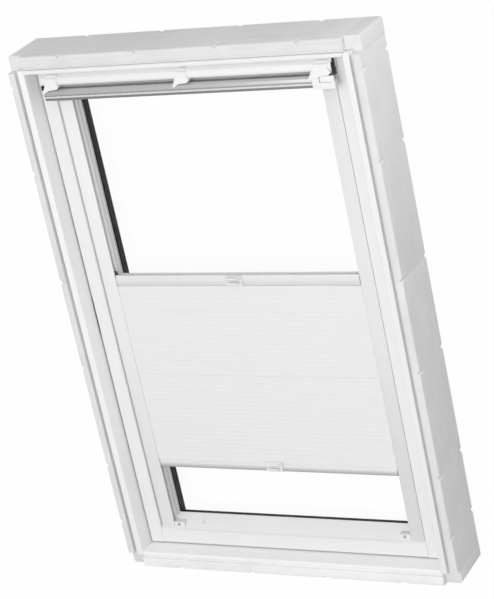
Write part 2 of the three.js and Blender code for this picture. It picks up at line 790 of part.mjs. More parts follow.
function stileOutline() {
  const rebate = paneHalf + PANE_PLAY;
  return [
    [sashHalf - EDGE_EASE, sashFace],
    [stileInner + EDGE_EASE, sashFace],
    [stileInner, sashFace + EDGE_EASE],
    [stileInner, lipFront],
    [sightHalf - LIP_REACH, lipFront],
    [sightHalf - LIP_REACH, lipBack],
    [rebate, lipBack],
    [rebate, sashBack],
    [sashHalf, sashBack],
    [sashHalf, sashFace + EDGE_EASE],
  ];
}

function stileCutters() {
  return [-1, 1].map((side) => {
    const outline = mirrored(grown(stileOutline(), SEAT_GAP), side);
    return column(outline, sashBottom - OVERRUN, sashTop + OVERRUN);
  });
}

function sashStile(side) {
  const depth = PIVOT_PLATE_THICKNESS + SEAT_GAP;
  const pocket = beam(pivotOutline(SEAT_GAP),
    ...ordered(side * (sashHalf - depth), side * (sashHalf + OVERRUN)));
  const member = column(mirrored(stileOutline(), side), sashBottom, sashTop);
  return piece(`sash_${sideName(side)}`, cut(member, pocket), SASH_WHITE);
}

// The bottom member slopes up from a small bead at the room side to the glass.
function sillOutline() {
  const rebate = paneBottom - PANE_PLAY;
  return [
    [sashFace + EDGE_EASE, sashBottom],
    [sashFace, sashBottom + EDGE_EASE],
    [sashFace, sillFront - EDGE_EASE],
    [sashFace + EDGE_EASE, sillFront],
    [sashFace + EDGE_EASE + SILL_BEAD, sillFront + SILL_BEAD / 2],
    [lipBack, sightBottom],
    [lipBack, rebate],
    [sashBack, rebate],
    [sashBack, sashBottom],
  ];
}

// A small slot on the slope, which lets water off the glass run away.
function drainSlot() {
  const place = SLOT_MARK_PLACE_SHARE * sashHalf;
  const middle = (sashFace + lipBack) / 2;
  const outline = roundEnded(0, 0, SLOT_MARK_WIDTH, SLOT_MARK_LENGTH);
  const slot = column(outline, 0, SLOT_MARK_LENGTH);
  slot.rotateZ(-SLOT_MARK_TURN);
  return slot.translate(place, middle, (sillFront + sightBottom) / 2 - SLOT_MARK_WIDTH);
}

function sashSill() {
  const member = beam(sillOutline(), ...betweenSides(sashHalf));
  return piece('sash_bottom', cut(member, ...stileCutters(), drainSlot()), SASH_WHITE);
}

function headOutline() {
  const rebate = paneTop + PANE_PLAY;
  return [
    [sashFace, sashTop],
    [sashFace, headBottom + EDGE_EASE],
    [sashFace + EDGE_EASE, headBottom],
    [lipFront, headBottom],
    [lipFront, sightTop],
    [lipBack, sightTop],
    [lipBack, rebate],
    [sashBack, rebate],
    [sashBack, sashTop],
  ];
}

function lockBlock(clearance, above) {
  const halfLength = LOCK_LENGTH / 2 + clearance;
  const halfWidth = LOCK_WIDTH / 2 + clearance;
  return block(-halfLength, halfLength, lockDepth - halfWidth, lockDepth + halfWidth,
    sashTop - LOCK_DROP - clearance, sashTop + above);
}

function sashHead() {
  const member = beam(headOutline(), ...betweenSides(sashHalf));
  const pocket = lockBlock(SEAT_GAP, OVERRUN);
  return piece('sash_top', cut(member, ...stileCutters(), pocket), SASH_WHITE);
}

function lockCase() {
  return piece('lock_case', lockBlock(0, 0), STEEL);
}

// Glazing

function ringPanel(innerHalf, innerLow, innerHigh, width, front, back) {
  const outer = rectangle(-innerHalf - width, innerLow - width, innerHalf + width, innerHigh + width);
  const inner = rectangle(-innerHalf, innerLow, innerHalf, innerHigh);
  return panel(outer, front, back, [inner]);
}

function glazing() {
  const pane = rectangle(-paneHalf, paneBottom, paneHalf, paneTop);
  const innerBack = glassFront + PANE_THICKNESS;
  const outerFront = glassBack - PANE_THICKNESS;
  const half = sightHalf - SPACER_REACH;
  const gasket = ringPanel(half, glazingBottom, sightTop, SPACER_WIDTH,
    lipBack + SEAT_GAP, glassFront - SEAT_GAP);
  const spacer = ringPanel(half, glazingBottom, sightTop, SPACER_WIDTH,
    innerBack + SEAT_GAP, outerFront - SEAT_GAP);
  return [
    piece('glazing_gasket', gasket, BLACK_RUBBER),
    piece('inner_pane', panel(pane, glassFront, innerBack), GLASS),
    piece('pane_spacer', spacer, BLACK_RUBBER),
    piece('outer_pane', panel(pane, outerFront, glassBack), GLASS),
  ];
}

function sashSeal() {
  const back = sashBack - SEAL_SET_BACK;
  const innerHalf = sashHalf + SEAT_GAP;
  const inner = rectangle(-innerHalf, sashBottom - SEAT_GAP, innerHalf, sashTop + SEAT_GAP);
  const outerHalf = innerHalf + SEAL_THICKNESS;
  const outerLow = sashBottom - SEAT_GAP - SEAL_BOTTOM_THICKNESS;
  const outer = rectangle(-outerHalf, outerLow, outerHalf, sashTop + SEAT_GAP + SEAL_THICKNESS);
  return piece('sash_seal', panel(outer, back - SEAL_WIDTH, back, [inner]), BLACK_RUBBER);
}

// Guide rails

function railOutline() {
  const slotEnd = sightHalf + SLOT_DEPTH;
  const slotBack = slotFront + SLOT_WIDTH;
  return [
    [railOuter, railFront + RAIL_GROOVE_DEPTH],
    [railOuter - RAIL_GROOVE_WIDTH, railFront],
    [sightHalf + RAIL_WALL / 2, railFront],
    [sightHalf, railFront + RAIL_WALL / 2],
    [sightHalf, slotFront],
    [slotEnd, slotFront],
    [slotEnd, slotBack],
    [sightHalf, slotBack],
    [sightHalf, railBack],
    [railOuter, railBack],
  ];
}

function railChamber() {
  const near = sightHalf + SLOT_DEPTH + RAIL_WALL;
  const far = railOuter - RAIL_GROOVE_WIDTH - RAIL_WALL;
  return rectangle(near, railFront + RAIL_WALL, far, railBack - RAIL_WALL);
}

function sillCutter() {
  return beam(grown(sillOutline(), SEAT_GAP), -sashHalf, sashHalf);
}

function guideRail(side) {
  const rail = column(mirrored(railOutline(), side), sillFront, railTop, [mirrored(railChamber(), side)]);
  return piece(`guide_rail_${sideName(side)}`, cut(rail, sillCutter()), WHITE_METAL);
}

function railCap(side) {
  const [left, right] = ordered(side * sightHalf, side * railOuter);
  const cap = block(left, right, railFront, railBack, railTop + SEAT_GAP, capTop);
  return piece(`rail_cap_${sideName(side)}`, cap, WHITE_PLASTIC);
}

function railFoot(side) {
  const near = sightHalf - SEAT_GAP;
  const [left, right] = ordered(side * (near - FOOT_LENGTH), side * near);
  const top = sillFront + FOOT_HEIGHT;
  const outline = [
    [railFront, sillFront],
    [railFront, top - EDGE_EASE],
    [railFront + EDGE_EASE, top],
    [railFront + FOOT_DEPTH, top],
    [railFront + FOOT_DEPTH, sillFront],
  ];
  return piece(`rail_foot_${sideName(side)}`, cut(beam(outline, left, right), sillCutter()), WHITE_PLASTIC);
}

// Pleated cloth of honeycomb cells, half of it on each side of its middle

function cellCount() {
  return Math.max(1, Math.round((upperBarBottom - clothMiddle) / CELL_PITCH));
}

function pleatOutline(low, high, cells) {
  const pitch = (high - low) / cells;
  const frontTip = slotMiddle - CELL_DEPTH / 2;
  const backTip = slotMiddle + CELL_DEPTH / 2;
  const frontLand = slotMiddle - CELL_LAND / 2;
  const backLand = slotMiddle + CELL_LAND / 2;
  const front = [[frontLand, low]];
  const back = [[backLand, low]];
  for (let i = 0; i < cells; i += 1) {
    front.push([frontTip, low + (2 * i + 1) * pitch / 2], [frontLand, low + (i + 1) * pitch]);
    back.push([backTip, low + (2 * i + 1) * pitch / 2], [backLand, low + (i + 1) * pitch]);
  }
  return [...back, ...front.reverse()];
}

// The hollow of one cell, a wall's thickness inside its outline.
function cellHollow(low, pitch) {
  const wall = CLOTH_THICKNESS;
  const middle = low + pitch / 2;
  const tip = CELL_DEPTH / 2 - 2 * wall;
  const land = CELL_LAND / 2 - wall / 2;
  return [
    [slotMiddle - tip, middle],
    [slotMiddle - land, low + wall],
    [slotMiddle + land, low + wall],
    [slotMiddle + tip, middle],
    [slotMiddle + land, low + pitch - wall],
    [slotMiddle - land, low + pitch - wall],
  ];
}

function pleats(name, low, high) {
  const cells = cellCount();
  const pitch = (high - low) / cells;
  const reach = sightHalf - CLOTH_PLAY;
  const hollows = Array.from({ length: cells }, (_, i) => cellHollow(low + i * pitch, pitch));
  return piece(name, beam(pleatOutline(low, high, cells), -reach, reach, hollows), CLOTH);
}

// Blind bars

function barOutline(low, high, slotUp) {
  const face = barFront + BAR_BULGE;
  const slotHalf = BAR_SLOT_WIDTH / 2;
  const open = slotUp ? high : low;
  const closed = slotUp ? low : high;
  const inwards = slotUp ? -1 : 1;
  const frontLine = BULGE_SHARES.map(([out, up]) => [face - out * BAR_BULGE, closed + (open - closed) * up]);
  return [
    ...frontLine,
    [slotMiddle - slotHalf, open],
    [slotMiddle - slotHalf, open + inwards * BAR_SLOT_DEPTH],
    [slotMiddle + slotHalf, open + inwards * BAR_SLOT_DEPTH],
    [slotMiddle + slotHalf, open],
    [barBack - BAR_WALL, open],
    [barBack, open + inwards * BAR_WALL],
    [barBack, closed - inwards * BAR_WALL],
    [barBack - BAR_WALL, closed],
  ];
}

function barChamber(low, high, slotUp) {
  const front = barFront + BAR_BULGE + BAR_WALL;
  const back = barBack - BAR_WALL;
  const bottom = low + BAR_WALL + (slotUp ? 0 : BAR_SLOT_DEPTH);
  const top = high - BAR_WALL - (slotUp ? BAR_SLOT_DEPTH : 0);
  return rectangle(front, bottom, back, top);
}

function blindBar(name, low, high, slotUp) {
  const reach = sightHalf - BAR_PLAY;
  const bar = beam(barOutline(low, high, slotUp), -reach, reach, [barChamber(low, high, slotUp)]);
  return piece(name, bar, WHITE_METAL);
}

function glider(name, side, low) {
  const near = sightHalf - BAR_PLAY + SEAT_GAP;
  const far = sightHalf + GLIDER_REACH;
  const halfDepth = SLOT_WIDTH / 2 - GLIDER_PLAY;
  const [left, right] = ordered(side * near, side * far);
  const body = block(left, right, slotMiddle - halfDepth, slotMiddle + halfDepth, low, low + GLIDER_HEIGHT);
  return piece(`${name}_${sideName(side)}`, body, DARK_PLASTIC);
}

// Handle of a bar: a plate against its face, a short tab at the top and a shelf for the fingers.
function handle(name, low) {
  const face = barFront - SEAT_GAP;
  const top = low + HANDLE_HEIGHT;
  const root = face - HANDLE_BASE / 2;
  const base = beam([
    [face, low],
    [face - HANDLE_BASE, low + HANDLE_BASE],
    [face - HANDLE_BASE, top - HANDLE_BASE / 2],
    [face - HANDLE_BASE / 2, top],
    [face, top],
  ], -HANDLE_WIDTH / 2, HANDLE_WIDTH / 2);
  const tab = beam([
    [root, top - TAB_THICKNESS / 2],
    [face - TAB_REACH + TAB_THICKNESS, top - TAB_THICKNESS / 2],
    [face - TAB_REACH, top - TAB_THICKNESS],
    [face - TAB_REACH, top - 2 * TAB_THICKNESS],
    [root, top - 2 * TAB_THICKNESS],
  ], -TAB_WIDTH / 2, TAB_WIDTH / 2);
  const under = top - SHELF_DROP;
  const shelf = beam([
    [root, under - SHELF_THICKNESS],
    [face - SHELF_REACH + SHELF_THICKNESS, under],
    [face - SHELF_REACH, under + SHELF_THICKNESS],
    [face - SHELF_REACH + SHELF_THICKNESS / 2, under + 2 * SHELF_THICKNESS],
    [face - SHELF_REACH + SHELF_THICKNESS, under + SHELF_THICKNESS],
    [root, under],
  ], -SHELF_WIDTH / 2, SHELF_WIDTH / 2);
  return piece(name, joined(base, tab, shelf), WHITE_PLASTIC);
}

// Control bar, its arms and the ventilation flap, all turning on one rod

function fromRod(shares, size) {
  return shares.map(([depth, height]) => [rodDepth + depth * size, rodHeight + height * size]);
}

function flapOutline() {
  return [
    ...fromRod(FLAP_LINE_SHARES, FLAP_REACH),
    [rodDepth + KNUCKLE_HALF, rodHeight - FLAP_FALL],
    [rodDepth + KNUCKLE_HALF, rodHeight],
  ];
}

function knuckleOutline() {
  const round = KNUCKLE_ROUND_SHARE * KNUCKLE_HALF;
  const top = fromRod([FLAP_LINE_SHARES[0]], FLAP_REACH)[0];
  return [
    top,
    [rodDepth - KNUCKLE_HALF, rodHeight + round],
    [rodDepth - KNUCKLE_HALF, rodHeight - KNUCKLE_HALF],
    [rodDepth + KNUCKLE_HALF, rodHeight - KNUCKLE_HALF],
    [rodDepth + KNUCKLE_HALF, rodHeight],
    [rodDepth + round, rodHeight + round],
  ];
}

function armPlaces() {
  return [
    { name: 'arm_left', middle: -armPlace, top: LEFT_ARM_TOP_HALF, foot: LEFT_ARM_FOOT_HALF },
    { name: 'arm_middle', middle: 0, top: MIDDLE_ARM_TOP_HALF, foot: MIDDLE_ARM_FOOT_HALF },
    { name: 'arm_right', middle: armPlace, top: RIGHT_ARM_TOP_HALF, foot: RIGHT_ARM_FOOT_HALF, hook: true },
  ];
}

function bracketPlaces() {
  return [-1, 1].map((side) => side * BRACKET_PLACE_SHARE * flapHalf);
}

const rodHalf = flapHalf - FLAP_WALL - SEAT_GAP;

// A shallow recess in the flap's upper edge, over an arm.
function armRecess({ middle, top }) {
  const centre = middle + 2 * ARM_LEAN;
  const half = RECESS_WIDTH_SHARE * top;
  return block(centre - half, centre + half, -OVERRUN, RECESS_DEPTH,
    openingTop - ARM_TOP + SEAT_GAP, openingTop + OVERRUN);
}

// Room for a bracket's eye and neck through the whole swing of the flap.
function bracketRoom(place) {
  const half = BRACKET_WIDTH / 2 + BRACKET_PLAY;
  const eye = rod(EAR_RADIUS + BRACKET_PLAY, place - half, place + half, rodDepth, rodHeight);
  const neck = block(place - half, place + half, rodDepth - ROD_RADIUS, sashFace,
    rodHeight - KNUCKLE_HALF - OVERRUN, openingTop + OVERRUN);
  return [eye, neck];
}

function ventFlap() {
  const skin = beam(strip(fromRod(FLAP_LINE_SHARES, FLAP_REACH), -FLAP_WALL), -flapHalf, flapHalf);
  const knuckle = beam(knuckleOutline(), -flapHalf, flapHalf);
  const walls = [
    beam(flapOutline(), -flapHalf, -flapHalf + FLAP_WALL),
    beam(flapOutline(), flapHalf - FLAP_WALL, flapHalf),
  ];
  const bore = rod(ROD_RADIUS + RUN_GAP, -rodHalf - SEAT_GAP, rodHalf + SEAT_GAP, rodDepth, rodHeight);
  const body = joined(skin, knuckle, ...walls);
  const tools = [bore, ...armPlaces().map(armRecess), ...bracketPlaces().flatMap(bracketRoom)];
  return piece('vent_flap', cut(body, ...tools), WHITE_PAINT);
}

function hingeRod() {
  return piece('hinge_rod', rod(ROD_RADIUS, -rodHalf, rodHalf, rodDepth, rodHeight), STEEL);
}

// A bracket on the sash's head: its eye holds the rod.
function rodBracket(place, index) {
  const foot = sashFace - SEAT_GAP;
  const outline = [
    [foot, rodHeight - 2 * EAR_RADIUS],
    [foot, rodHeight + EAR_RADIUS],
    ...arc(rodDepth, rodHeight, EAR_RADIUS, Math.PI / 2, 3 * Math.PI / 2),
    [foot - EAR_RADIUS, rodHeight - EAR_RADIUS],
  ];
  const bore = circle(rodDepth, rodHeight, ROD_RADIUS + RUN_GAP);
  const body = beam(outline, place - BRACKET_WIDTH / 2, place + BRACKET_WIDTH / 2, [bore]);
  return piece(`rod_bracket_${index + 1}`, body, STEEL);
}

function gripLine() {
  const back = rodDepth - GRIP_BACK;
  const top = rodHeight - GRIP_DROP;
  return GRIP_LINE_SHARES.map(([depth, height]) => [back + depth * GRIP_HEIGHT, top + height * GRIP_HEIGHT]);
}

// The grip filled out to the rod's depth, to cut its seat out of the arms.
function gripBlock() {
  const back = rodDepth + KNUCKLE_HALF;
  const top = rodHeight - GRIP_DROP;
  return [...gripLine(), [back, top - GRIP_HEIGHT], [back, top]];
}

function grip() {
  return piece('control_bar', beam(strip(gripLine(), -GRIP_WALL), -gripHalf, gripHalf), GREY_METAL);
}

function armSideOutline(fall) {
  const low = openingTop - fall;
  const back = rodDepth - ARM_BACK;
  const top = openingTop - ARM_TOP;
  return [
    ...fromRod(ARM_SIDE_SHARES, ARM_REACH),
    [rodDepth - ARM_REACH, low],
    [back, low],
    [back, top],
  ];
}

// Front view of an arm: narrow above, spread below, with an arch between its feet.
function armFrontOutline({ middle, top, foot }) {
  const high = openingTop - ARM_TOP;
  const drop = ARM_FALL - ARM_TOP;
  const line = ARM_LINE_SHARES.map(([out, down]) => [middle + out * foot, high - down * drop]);
  const centre = middle + ARM_LEAN;
  return [[centre - top, high], ...line, [centre + top, high]];
}

function hookFrontOutline({ middle }) {
  const left = middle - HOOK_PLACE;
  const right = left + CAP_LENGTH;
  const low = openingTop - HOOK_FALL;
  const high = openingTop - (ARM_TOP + ARM_FALL) / 2;
  const capTop = low + CAP_HEIGHT;
  return [
    [left, high],
    [left, low + CAP_EASE],
    [left + CAP_EASE, low],
    [right - CAP_EASE, low],
    [right, low + CAP_EASE],
    [right, capTop + CAP_EASE],
    [right - CAP_EASE, capTop + CAP_EASE],
    [right - 2 * CAP_EASE, capTop],
    [left + HOOK_WIDTH, capTop],
    [left + HOOK_WIDTH, high],
  ];
}

function arm(place) {
  const left = place.middle - armPlace / 2;
  const right = place.middle + armPlace / 2;
  const grip = beam(grown(gripBlock(), SEAT_GAP), -gripHalf - SEAT_GAP, gripHalf + SEAT_GAP);
  const flap = beam(grown(flapOutline(), SEAT_GAP), -flapHalf - OVERRUN, flapHalf + OVERRUN);
  const fall = place.hook ? HOOK_FALL : ARM_FALL;
  const near = rodDepth - ARM_REACH - OVERRUN;
  let front = panel(armFrontOutline(place), near, sashFace);
  if (place.hook) {
    front = joined(front, panel(hookFrontOutline(place), near, sashFace));
  }
  const body = common(beam(armSideOutline(fall), left, right), front);
  return piece(place.name, cut(body, grip, flap), WHITE_PLASTIC);
}

// The whole window, body by body

function sashBody() {
  const blindRails = [-1, 1].flatMap((side) => [guideRail(side), railCap(side), railFoot(side)]);
  const hinges = [-1, 1].flatMap((side) => [sashStile(side), sashPivotPlate(side)]);
  const covers = ['left', 'right', 'bottom', 'top'].map(sashCover);
  const brackets = bracketPlaces().map(rodBracket);
  return [
    ...hinges, sashSill(), sashHead(), lockCase(), ...glazing(), sashSeal(), ...covers,
    ...brackets, hingeRod(), ...blindRails,
    pleats('pleats_upper', clothMiddle + SEAT_GAP / 2, upperBarBottom - SEAT_GAP),
    pleats('pleats_lower', lowerBarTop + SEAT_GAP, clothMiddle - SEAT_GAP / 2),
  ];
}

function frameBody() {
  const sides = [-1, 1].flatMap((side) => [frameSide(side), framePivotPlate(side), frameSideCover(side)]);
  return [
    ...collar(), ...sides, frameBottomMember(), frameTopMember(),
    frameBottomCover(), frameTopCover(),
  ];
}

function upperBarBody() {
  const low = upperBarTop - GLIDER_HEIGHT + BAR_SLOT_DEPTH;
  return [
    blindBar('upper_bar', upperBarBottom, upperBarTop, true),
    handle('upper_handle', upperBarBottom),
    glider('upper_glider', -1, low),
    glider('upper_glider', 1, low),
  ];
}

function lowerBarBody() {
  const low = lowerBarBottom - BAR_SLOT_DEPTH / 2;
  return [
    blindBar('lower_bar', lowerBarBottom, lowerBarTop, false),
    handle('lower_handle', lowerBarBottom),
    glider('lower_glider', -1, low),
    glider('lower_glider', 1, low),
  ];
}

const pivotPoint = new THREE.Vector3(0, pivotDepth, pivotHeight);
const rodPoint = new THREE.Vector3(0, rodDepth, rodHeight);
const upperPoint = new THREE.Vector3(0, slotMiddle, upperBarBottom);
const lowerPoint = new THREE.Vector3(0, slotMiddle, lowerBarBottom);

const roofWindow = assembly(
  new THREE.Vector3(0, COLLAR_DEPTH / 2, 0),
  ...frameBody(),
  assembly(
    pivotPoint,
    ...sashBody(),
    assembly(rodPoint, grip(), ventFlap(), ...armPlaces().map(arm)),
    assembly(upperPoint, ...upperBarBody()),
    assembly(lowerPoint, ...lowerBarBody()),
  ),
);
roofWindow.position.set(0, 0, 0);

export default roofWindow;
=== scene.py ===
import json
import math

import bmesh
import bpy
from mathutils import Matrix, Vector

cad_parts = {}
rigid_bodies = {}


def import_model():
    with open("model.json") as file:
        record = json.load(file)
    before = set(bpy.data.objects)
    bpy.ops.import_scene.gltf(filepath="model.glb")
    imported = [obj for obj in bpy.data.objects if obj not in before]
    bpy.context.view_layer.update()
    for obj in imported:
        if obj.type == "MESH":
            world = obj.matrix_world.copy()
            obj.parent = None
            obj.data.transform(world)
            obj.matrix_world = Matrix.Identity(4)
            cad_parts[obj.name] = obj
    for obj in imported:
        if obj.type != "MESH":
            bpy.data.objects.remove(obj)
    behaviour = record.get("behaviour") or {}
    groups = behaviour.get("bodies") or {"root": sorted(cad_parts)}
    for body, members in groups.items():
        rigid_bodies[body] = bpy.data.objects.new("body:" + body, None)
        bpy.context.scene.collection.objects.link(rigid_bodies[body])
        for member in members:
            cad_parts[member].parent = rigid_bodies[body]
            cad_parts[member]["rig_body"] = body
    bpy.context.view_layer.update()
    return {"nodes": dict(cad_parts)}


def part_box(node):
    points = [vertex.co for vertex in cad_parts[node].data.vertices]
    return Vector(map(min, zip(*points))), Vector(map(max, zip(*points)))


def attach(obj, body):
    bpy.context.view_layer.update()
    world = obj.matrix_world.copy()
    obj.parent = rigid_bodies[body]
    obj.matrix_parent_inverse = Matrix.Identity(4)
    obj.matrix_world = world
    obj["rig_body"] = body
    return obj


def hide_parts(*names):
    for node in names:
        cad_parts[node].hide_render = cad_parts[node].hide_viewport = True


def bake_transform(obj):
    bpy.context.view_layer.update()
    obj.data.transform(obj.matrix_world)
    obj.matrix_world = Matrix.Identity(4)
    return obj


# Looks of a centre-pivot roof window that is fitted with a pleated blind.
# Metres. X runs to the right, Y outwards from the room, Z up the window.

bl_info = {
    "name": "Roof window with pleated blind",
    "version": (1, 0, 0),
    "blender": (4, 5, 0),
    "location": "3D View > Sidebar > Roof window",
    "description": "Dresses the packed roof window: foam collar, timber, glazing, control bar and blind",
    "category": "Object",
}

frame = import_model()

SIDES = (("left", -1.0), ("right", 1.0))
COLLAR_BOARDS = (
    "collar_bottom", "collar_top",
    "collar_left_lower", "collar_left_upper", "collar_right_lower", "collar_right_upper",
)
COLLAR_CORNERS = (
    "collar_corner_bottom_left", "collar_corner_bottom_right",
    "collar_corner_top_left", "collar_corner_top_right",
)
COVERS = tuple(
    f"{kind}_cover_{edge}" for kind in ("frame", "sash") for edge in ("left", "right", "bottom", "top"))
PANES = ("inner_pane", "outer_pane")
STEEL = (
    "pivot_plate_frame_left", "pivot_plate_frame_right", "pivot_pin_sash_left", "pivot_pin_sash_right",
    "lock_case", "rod_bracket_1", "rod_bracket_2", "hinge_rod",
)
ARMS = ("arm_left", "arm_middle", "arm_right")
RAIL_ENDS = ("rail_cap_left", "rail_cap_right", "rail_foot_left", "rail_foot_right")
GLIDERS = ("upper_glider_left", "upper_glider_right", "lower_glider_left", "lower_glider_right")


# Sizes and colours that a user may change

def length(name, description, default, low=0.0, high=0.1):
    return bpy.props.FloatProperty(
        name=name, description=description, default=default, min=low, max=high,
        precision=4, subtype="DISTANCE", unit="LENGTH",
    )


def share(name, description, default, high=1.0):
    return bpy.props.FloatProperty(
        name=name, description=description, default=default, min=0.0, max=high, subtype="FACTOR")


def power(name, description, default):
    return bpy.props.FloatProperty(
        name=name, description=description, default=default, min=0.0, unit="POWER")


def count(name, description, default, low, high):
    return bpy.props.IntProperty(name=name, description=description, default=default, min=low, max=high)


def colour(thing, default):
    return bpy.props.FloatVectorProperty(
        name=thing.capitalize(), description="Colour of the " + thing, default=default,
        min=0.0, max=1.0, size=3, subtype="COLOR")


def grey(thing, level):
    return colour(thing, (level, level, level))


class CollarSettings(bpy.types.PropertyGroup):
    foam: colour("foam boards", (0.79, 0.79, 0.785))
    # Painted light: the bottom board's foam is lighter, standing for light bounced up from the floor
    lit_foot_foam: colour("foam of the bottom board", (0.92, 0.92, 0.915))
    cell: length("Foam cell", "Size of one cell in the foam", 0.0026, 0.0005, 0.01)
    round_edge: length("Soft edge", "Radius of the boards' edges", 0.0016, 0.0002, 0.006)
    top_groove: length("Top groove", "Depth of the groove above the frame", 0.0050)
    bottom_groove: length("Bottom groove", "Depth of the groove below the frame", 0.0045)
    groove_rise: length("Groove width", "Width of the grooves above and below the frame", 0.0066)
    groove_play: length("Groove play", "From the frame to the grooves' floors", 0.0003)
    groove_back: length("Groove back", "Depth of the back of the grooves' floors", 0.0139)
    mottle: share("Mottling", "How far the foam's colour varies", 0.60)


class TimberSettings(bpy.types.PropertyGroup):
    frame_paint: grey("fixed frame", 0.86)
    # Painted light: the left member and the bottom member are painted lighter than the rest of the frame
    lit_left_paint: grey("frame's left member", 0.915)
    lit_sill_paint: grey("frame's bottom member", 0.95)
    sash_paint: grey("sash", 0.85)
    coat: share("Gloss", "Weight of the paint's clear top layer", 0.15)
    sill_coat: share("Bottom gloss", "The same on the frame's bottom member", 0.8)
    grain: share("Grain", "How far the wood's grain shows through the paint", 0.35)
    round_edge: length("Soft edge", "Radius of the paint over an edge", 0.0012, 0.0002, 0.004)
    groove_width: length("Groove width", "Width of the grooves along the frame's outer sides", 0.0040)
    groove_depth: length("Groove depth", "Depth of the groove at the right", 0.012)
    left_groove_depth: length("Left groove depth", "Depth of the groove at the left", 0.0075)


class OuterSettings(bpy.types.PropertyGroup):
    cover: colour("outer aluminium covers", (0.075, 0.08, 0.086))
    rubber: colour("seals and the spacer", (0.012, 0.012, 0.013))
    # Painted shade: grey strips over the stiles' lips, where shade falls beside the rails
    lip_shade: grey("painted shade over the stiles' lips", 0.60)
    lip_reach: length("Lip shade reach", "From a rail's inner face to the shade strip's edge", 0.0056)
    lip_depth: length("Lip shade depth", "From a rail's back to the shade strip's back", 0.0062)
    ring_width: length("Ring width", "Width of the glazing rings at the sides", 0.0080)
    ring_rise: length("Ring rise", "Width of the glazing rings above", 0.0111)
    ring_foot: length("Ring foot", "Width of the glazing rings below", 0.0085)
    glass: colour("clear glass", (0.999, 1.0, 0.9995))
    steel: colour("zinc-plated steel", (0.52, 0.53, 0.54))


class ControlSettings(bpy.types.PropertyGroup):
    metal: colour("silver anodised bar", (0.47, 0.47, 0.468))
    # Painted highlight: a lighter strip along the bar's edge
    rim: colour("painted highlight along the bar", (0.70, 0.70, 0.697))
    # Painted shade: a dark strip along the bar's underside
    lip: grey("dark lip along the bar", 0.20)
    # Painted shade: near-black plates where the gap beside the flap's ends lies in deep shade
    shade: colour("plates on the flap's ends", (0.02, 0.02, 0.021))
    flap: grey("ventilation flap", 0.86)
    plastic: grey("plastic of the arms", 0.87)
    round_edge: length("Soft edge", "Radius of the arms' edges", 0.0010, 0.0002, 0.004)
    bar_edge: length("Bar edge", "Radius of the edges of the bar and the flap", 0.0012, 0.0002, 0.004)
    bar_end: length("Bar ends", "From the bar's ends to the ends of its rim and lip", 0.0008)


class BlindSettings(bpy.types.PropertyGroup):
    cloth: grey("pleated cloth", 0.83)
    # Painted light: the two rails share one coating, painted lighter on the left and darker on the right
    rail_left: colour("left rail", (0.876, 0.876, 0.872))
    rail_right: colour("right rail", (0.79, 0.79, 0.786))
    rail_end: grey("rails' caps and feet", 0.85)
    # Painted shade: a rail's coating darkens towards its foot, to this share of its tone, between these
    # heights
    rail_shade_share: share("Rail fade", "Tone at a rail's foot, of its tone above", 0.89)
    shade_foot: length("Fade's foot", "Height below which a rail is darkest", 0.27, high=2.0)
    shade_top_left: length("Left fade's top", "Height above which the left rail keeps its tone", 0.93, high=2.0)
    shade_top_right: length("Right fade's top", "The same on the right rail", 0.60, high=2.0)
    rail_edge: length("Rail edge", "Radius of the edges of rails and gliders", 0.0006, 0.0001, 0.002)
    bar_edge: length("Bar edge", "Radius of the edges of bars, caps and feet", 0.0007, 0.0001, 0.002)
    rail_groove: length("Rail groove", "Width of the groove between a rail and its stile", 0.0024)
    rail_groove_depth: length("Rail groove depth", "Depth of that groove at the right", 0.0068)
    left_rail_groove: length("Left rail groove", "Depth of that groove at the left", 0.0030)
    bar: grey("blind's bars", 0.79)
    handle: grey("bars' handles", 0.84)
    glider: colour("plastic of the gliders", (0.06, 0.06, 0.065))
    half_width: length("Cloth half width", "From the middle to the cloth's side edge", 0.2944, 0.05, 1.0)
    cells: count("Cells", "Honeycomb cells in each half of the cloth", 20, 4, 60)
    fold_reach: length("Fold reach", "From the cloth's middle to a fold", 0.0080, 0.002, 0.02)
    land_reach: length("Land reach", "From the cloth's middle to a glued strip's edge", 0.0076, 0.0005, 0.01)
    thickness: length("Cloth thickness", "Thickness of the cloth", 0.00035, 0.0001, 0.002)


class FixingSettings(bpy.types.PropertyGroup):
    head_radius: length("Screw head", "Radius of a screw's head", 0.0038, 0.001, 0.01)
    head_height: length("Head height", "Height of a screw's head", 0.0018, 0.0005, 0.006)
    foot_screw: share("Foot screw", "Height of the screw on a rail's foot, as a share of the foot", 0.66)
    frame_hinge_reach: length("Frame hinge screws", "From the hinge pin to the frame plate's screws", 0.048)
    sash_hinge_reach: length("Sash hinge screws", "From the hinge pin to the sash plate's screws", 0.030)
    cover_screws: count("Cover screws", "Screws along each side cover", 4, 2, 12)
    cover_screw_inset: length("Cover screw inset", "From the sash cover's edge to its screws", 0.012)


class StageSettings(bpy.types.PropertyGroup):
    floor: grey("floor", 0.70)
    sky: share("Sky light", "Level of the even light from all round", 0.63, 2.0)
    key: power("Key lamp", "Power of the soft lamp at the front", 109.5)
    side: power("Side lamp", "Power of the soft lamp at the right", 1.75)
    clearing: share("Clearing", "Share of the floor that the camera sees as plain white", 0.98)


SETTINGS = {
    "collar": CollarSettings,
    "timber": TimberSettings,
    "outer": OuterSettings,
    "control": ControlSettings,
    "blind": BlindSettings,
    "fixing": FixingSettings,
    "stage": StageSettings,
}


# Objects and meshes

# Angles in degrees: from where shading turns sharp, from where corners are rounded on flat pieces
# and on curved ones, and within which two faces are joined
SMOOTH_ANGLE = 40.0
CREASE = 24.0
CURVED_CREASE = 12.0
FLAT_ANGLE = 0.4

MERGE_REACH = 0.00002
SEAM_REACH = 0.0006
SEAM_WEIGHT = 0.10
ROUND_STEPS = 3
CUT_PAST = 0.002


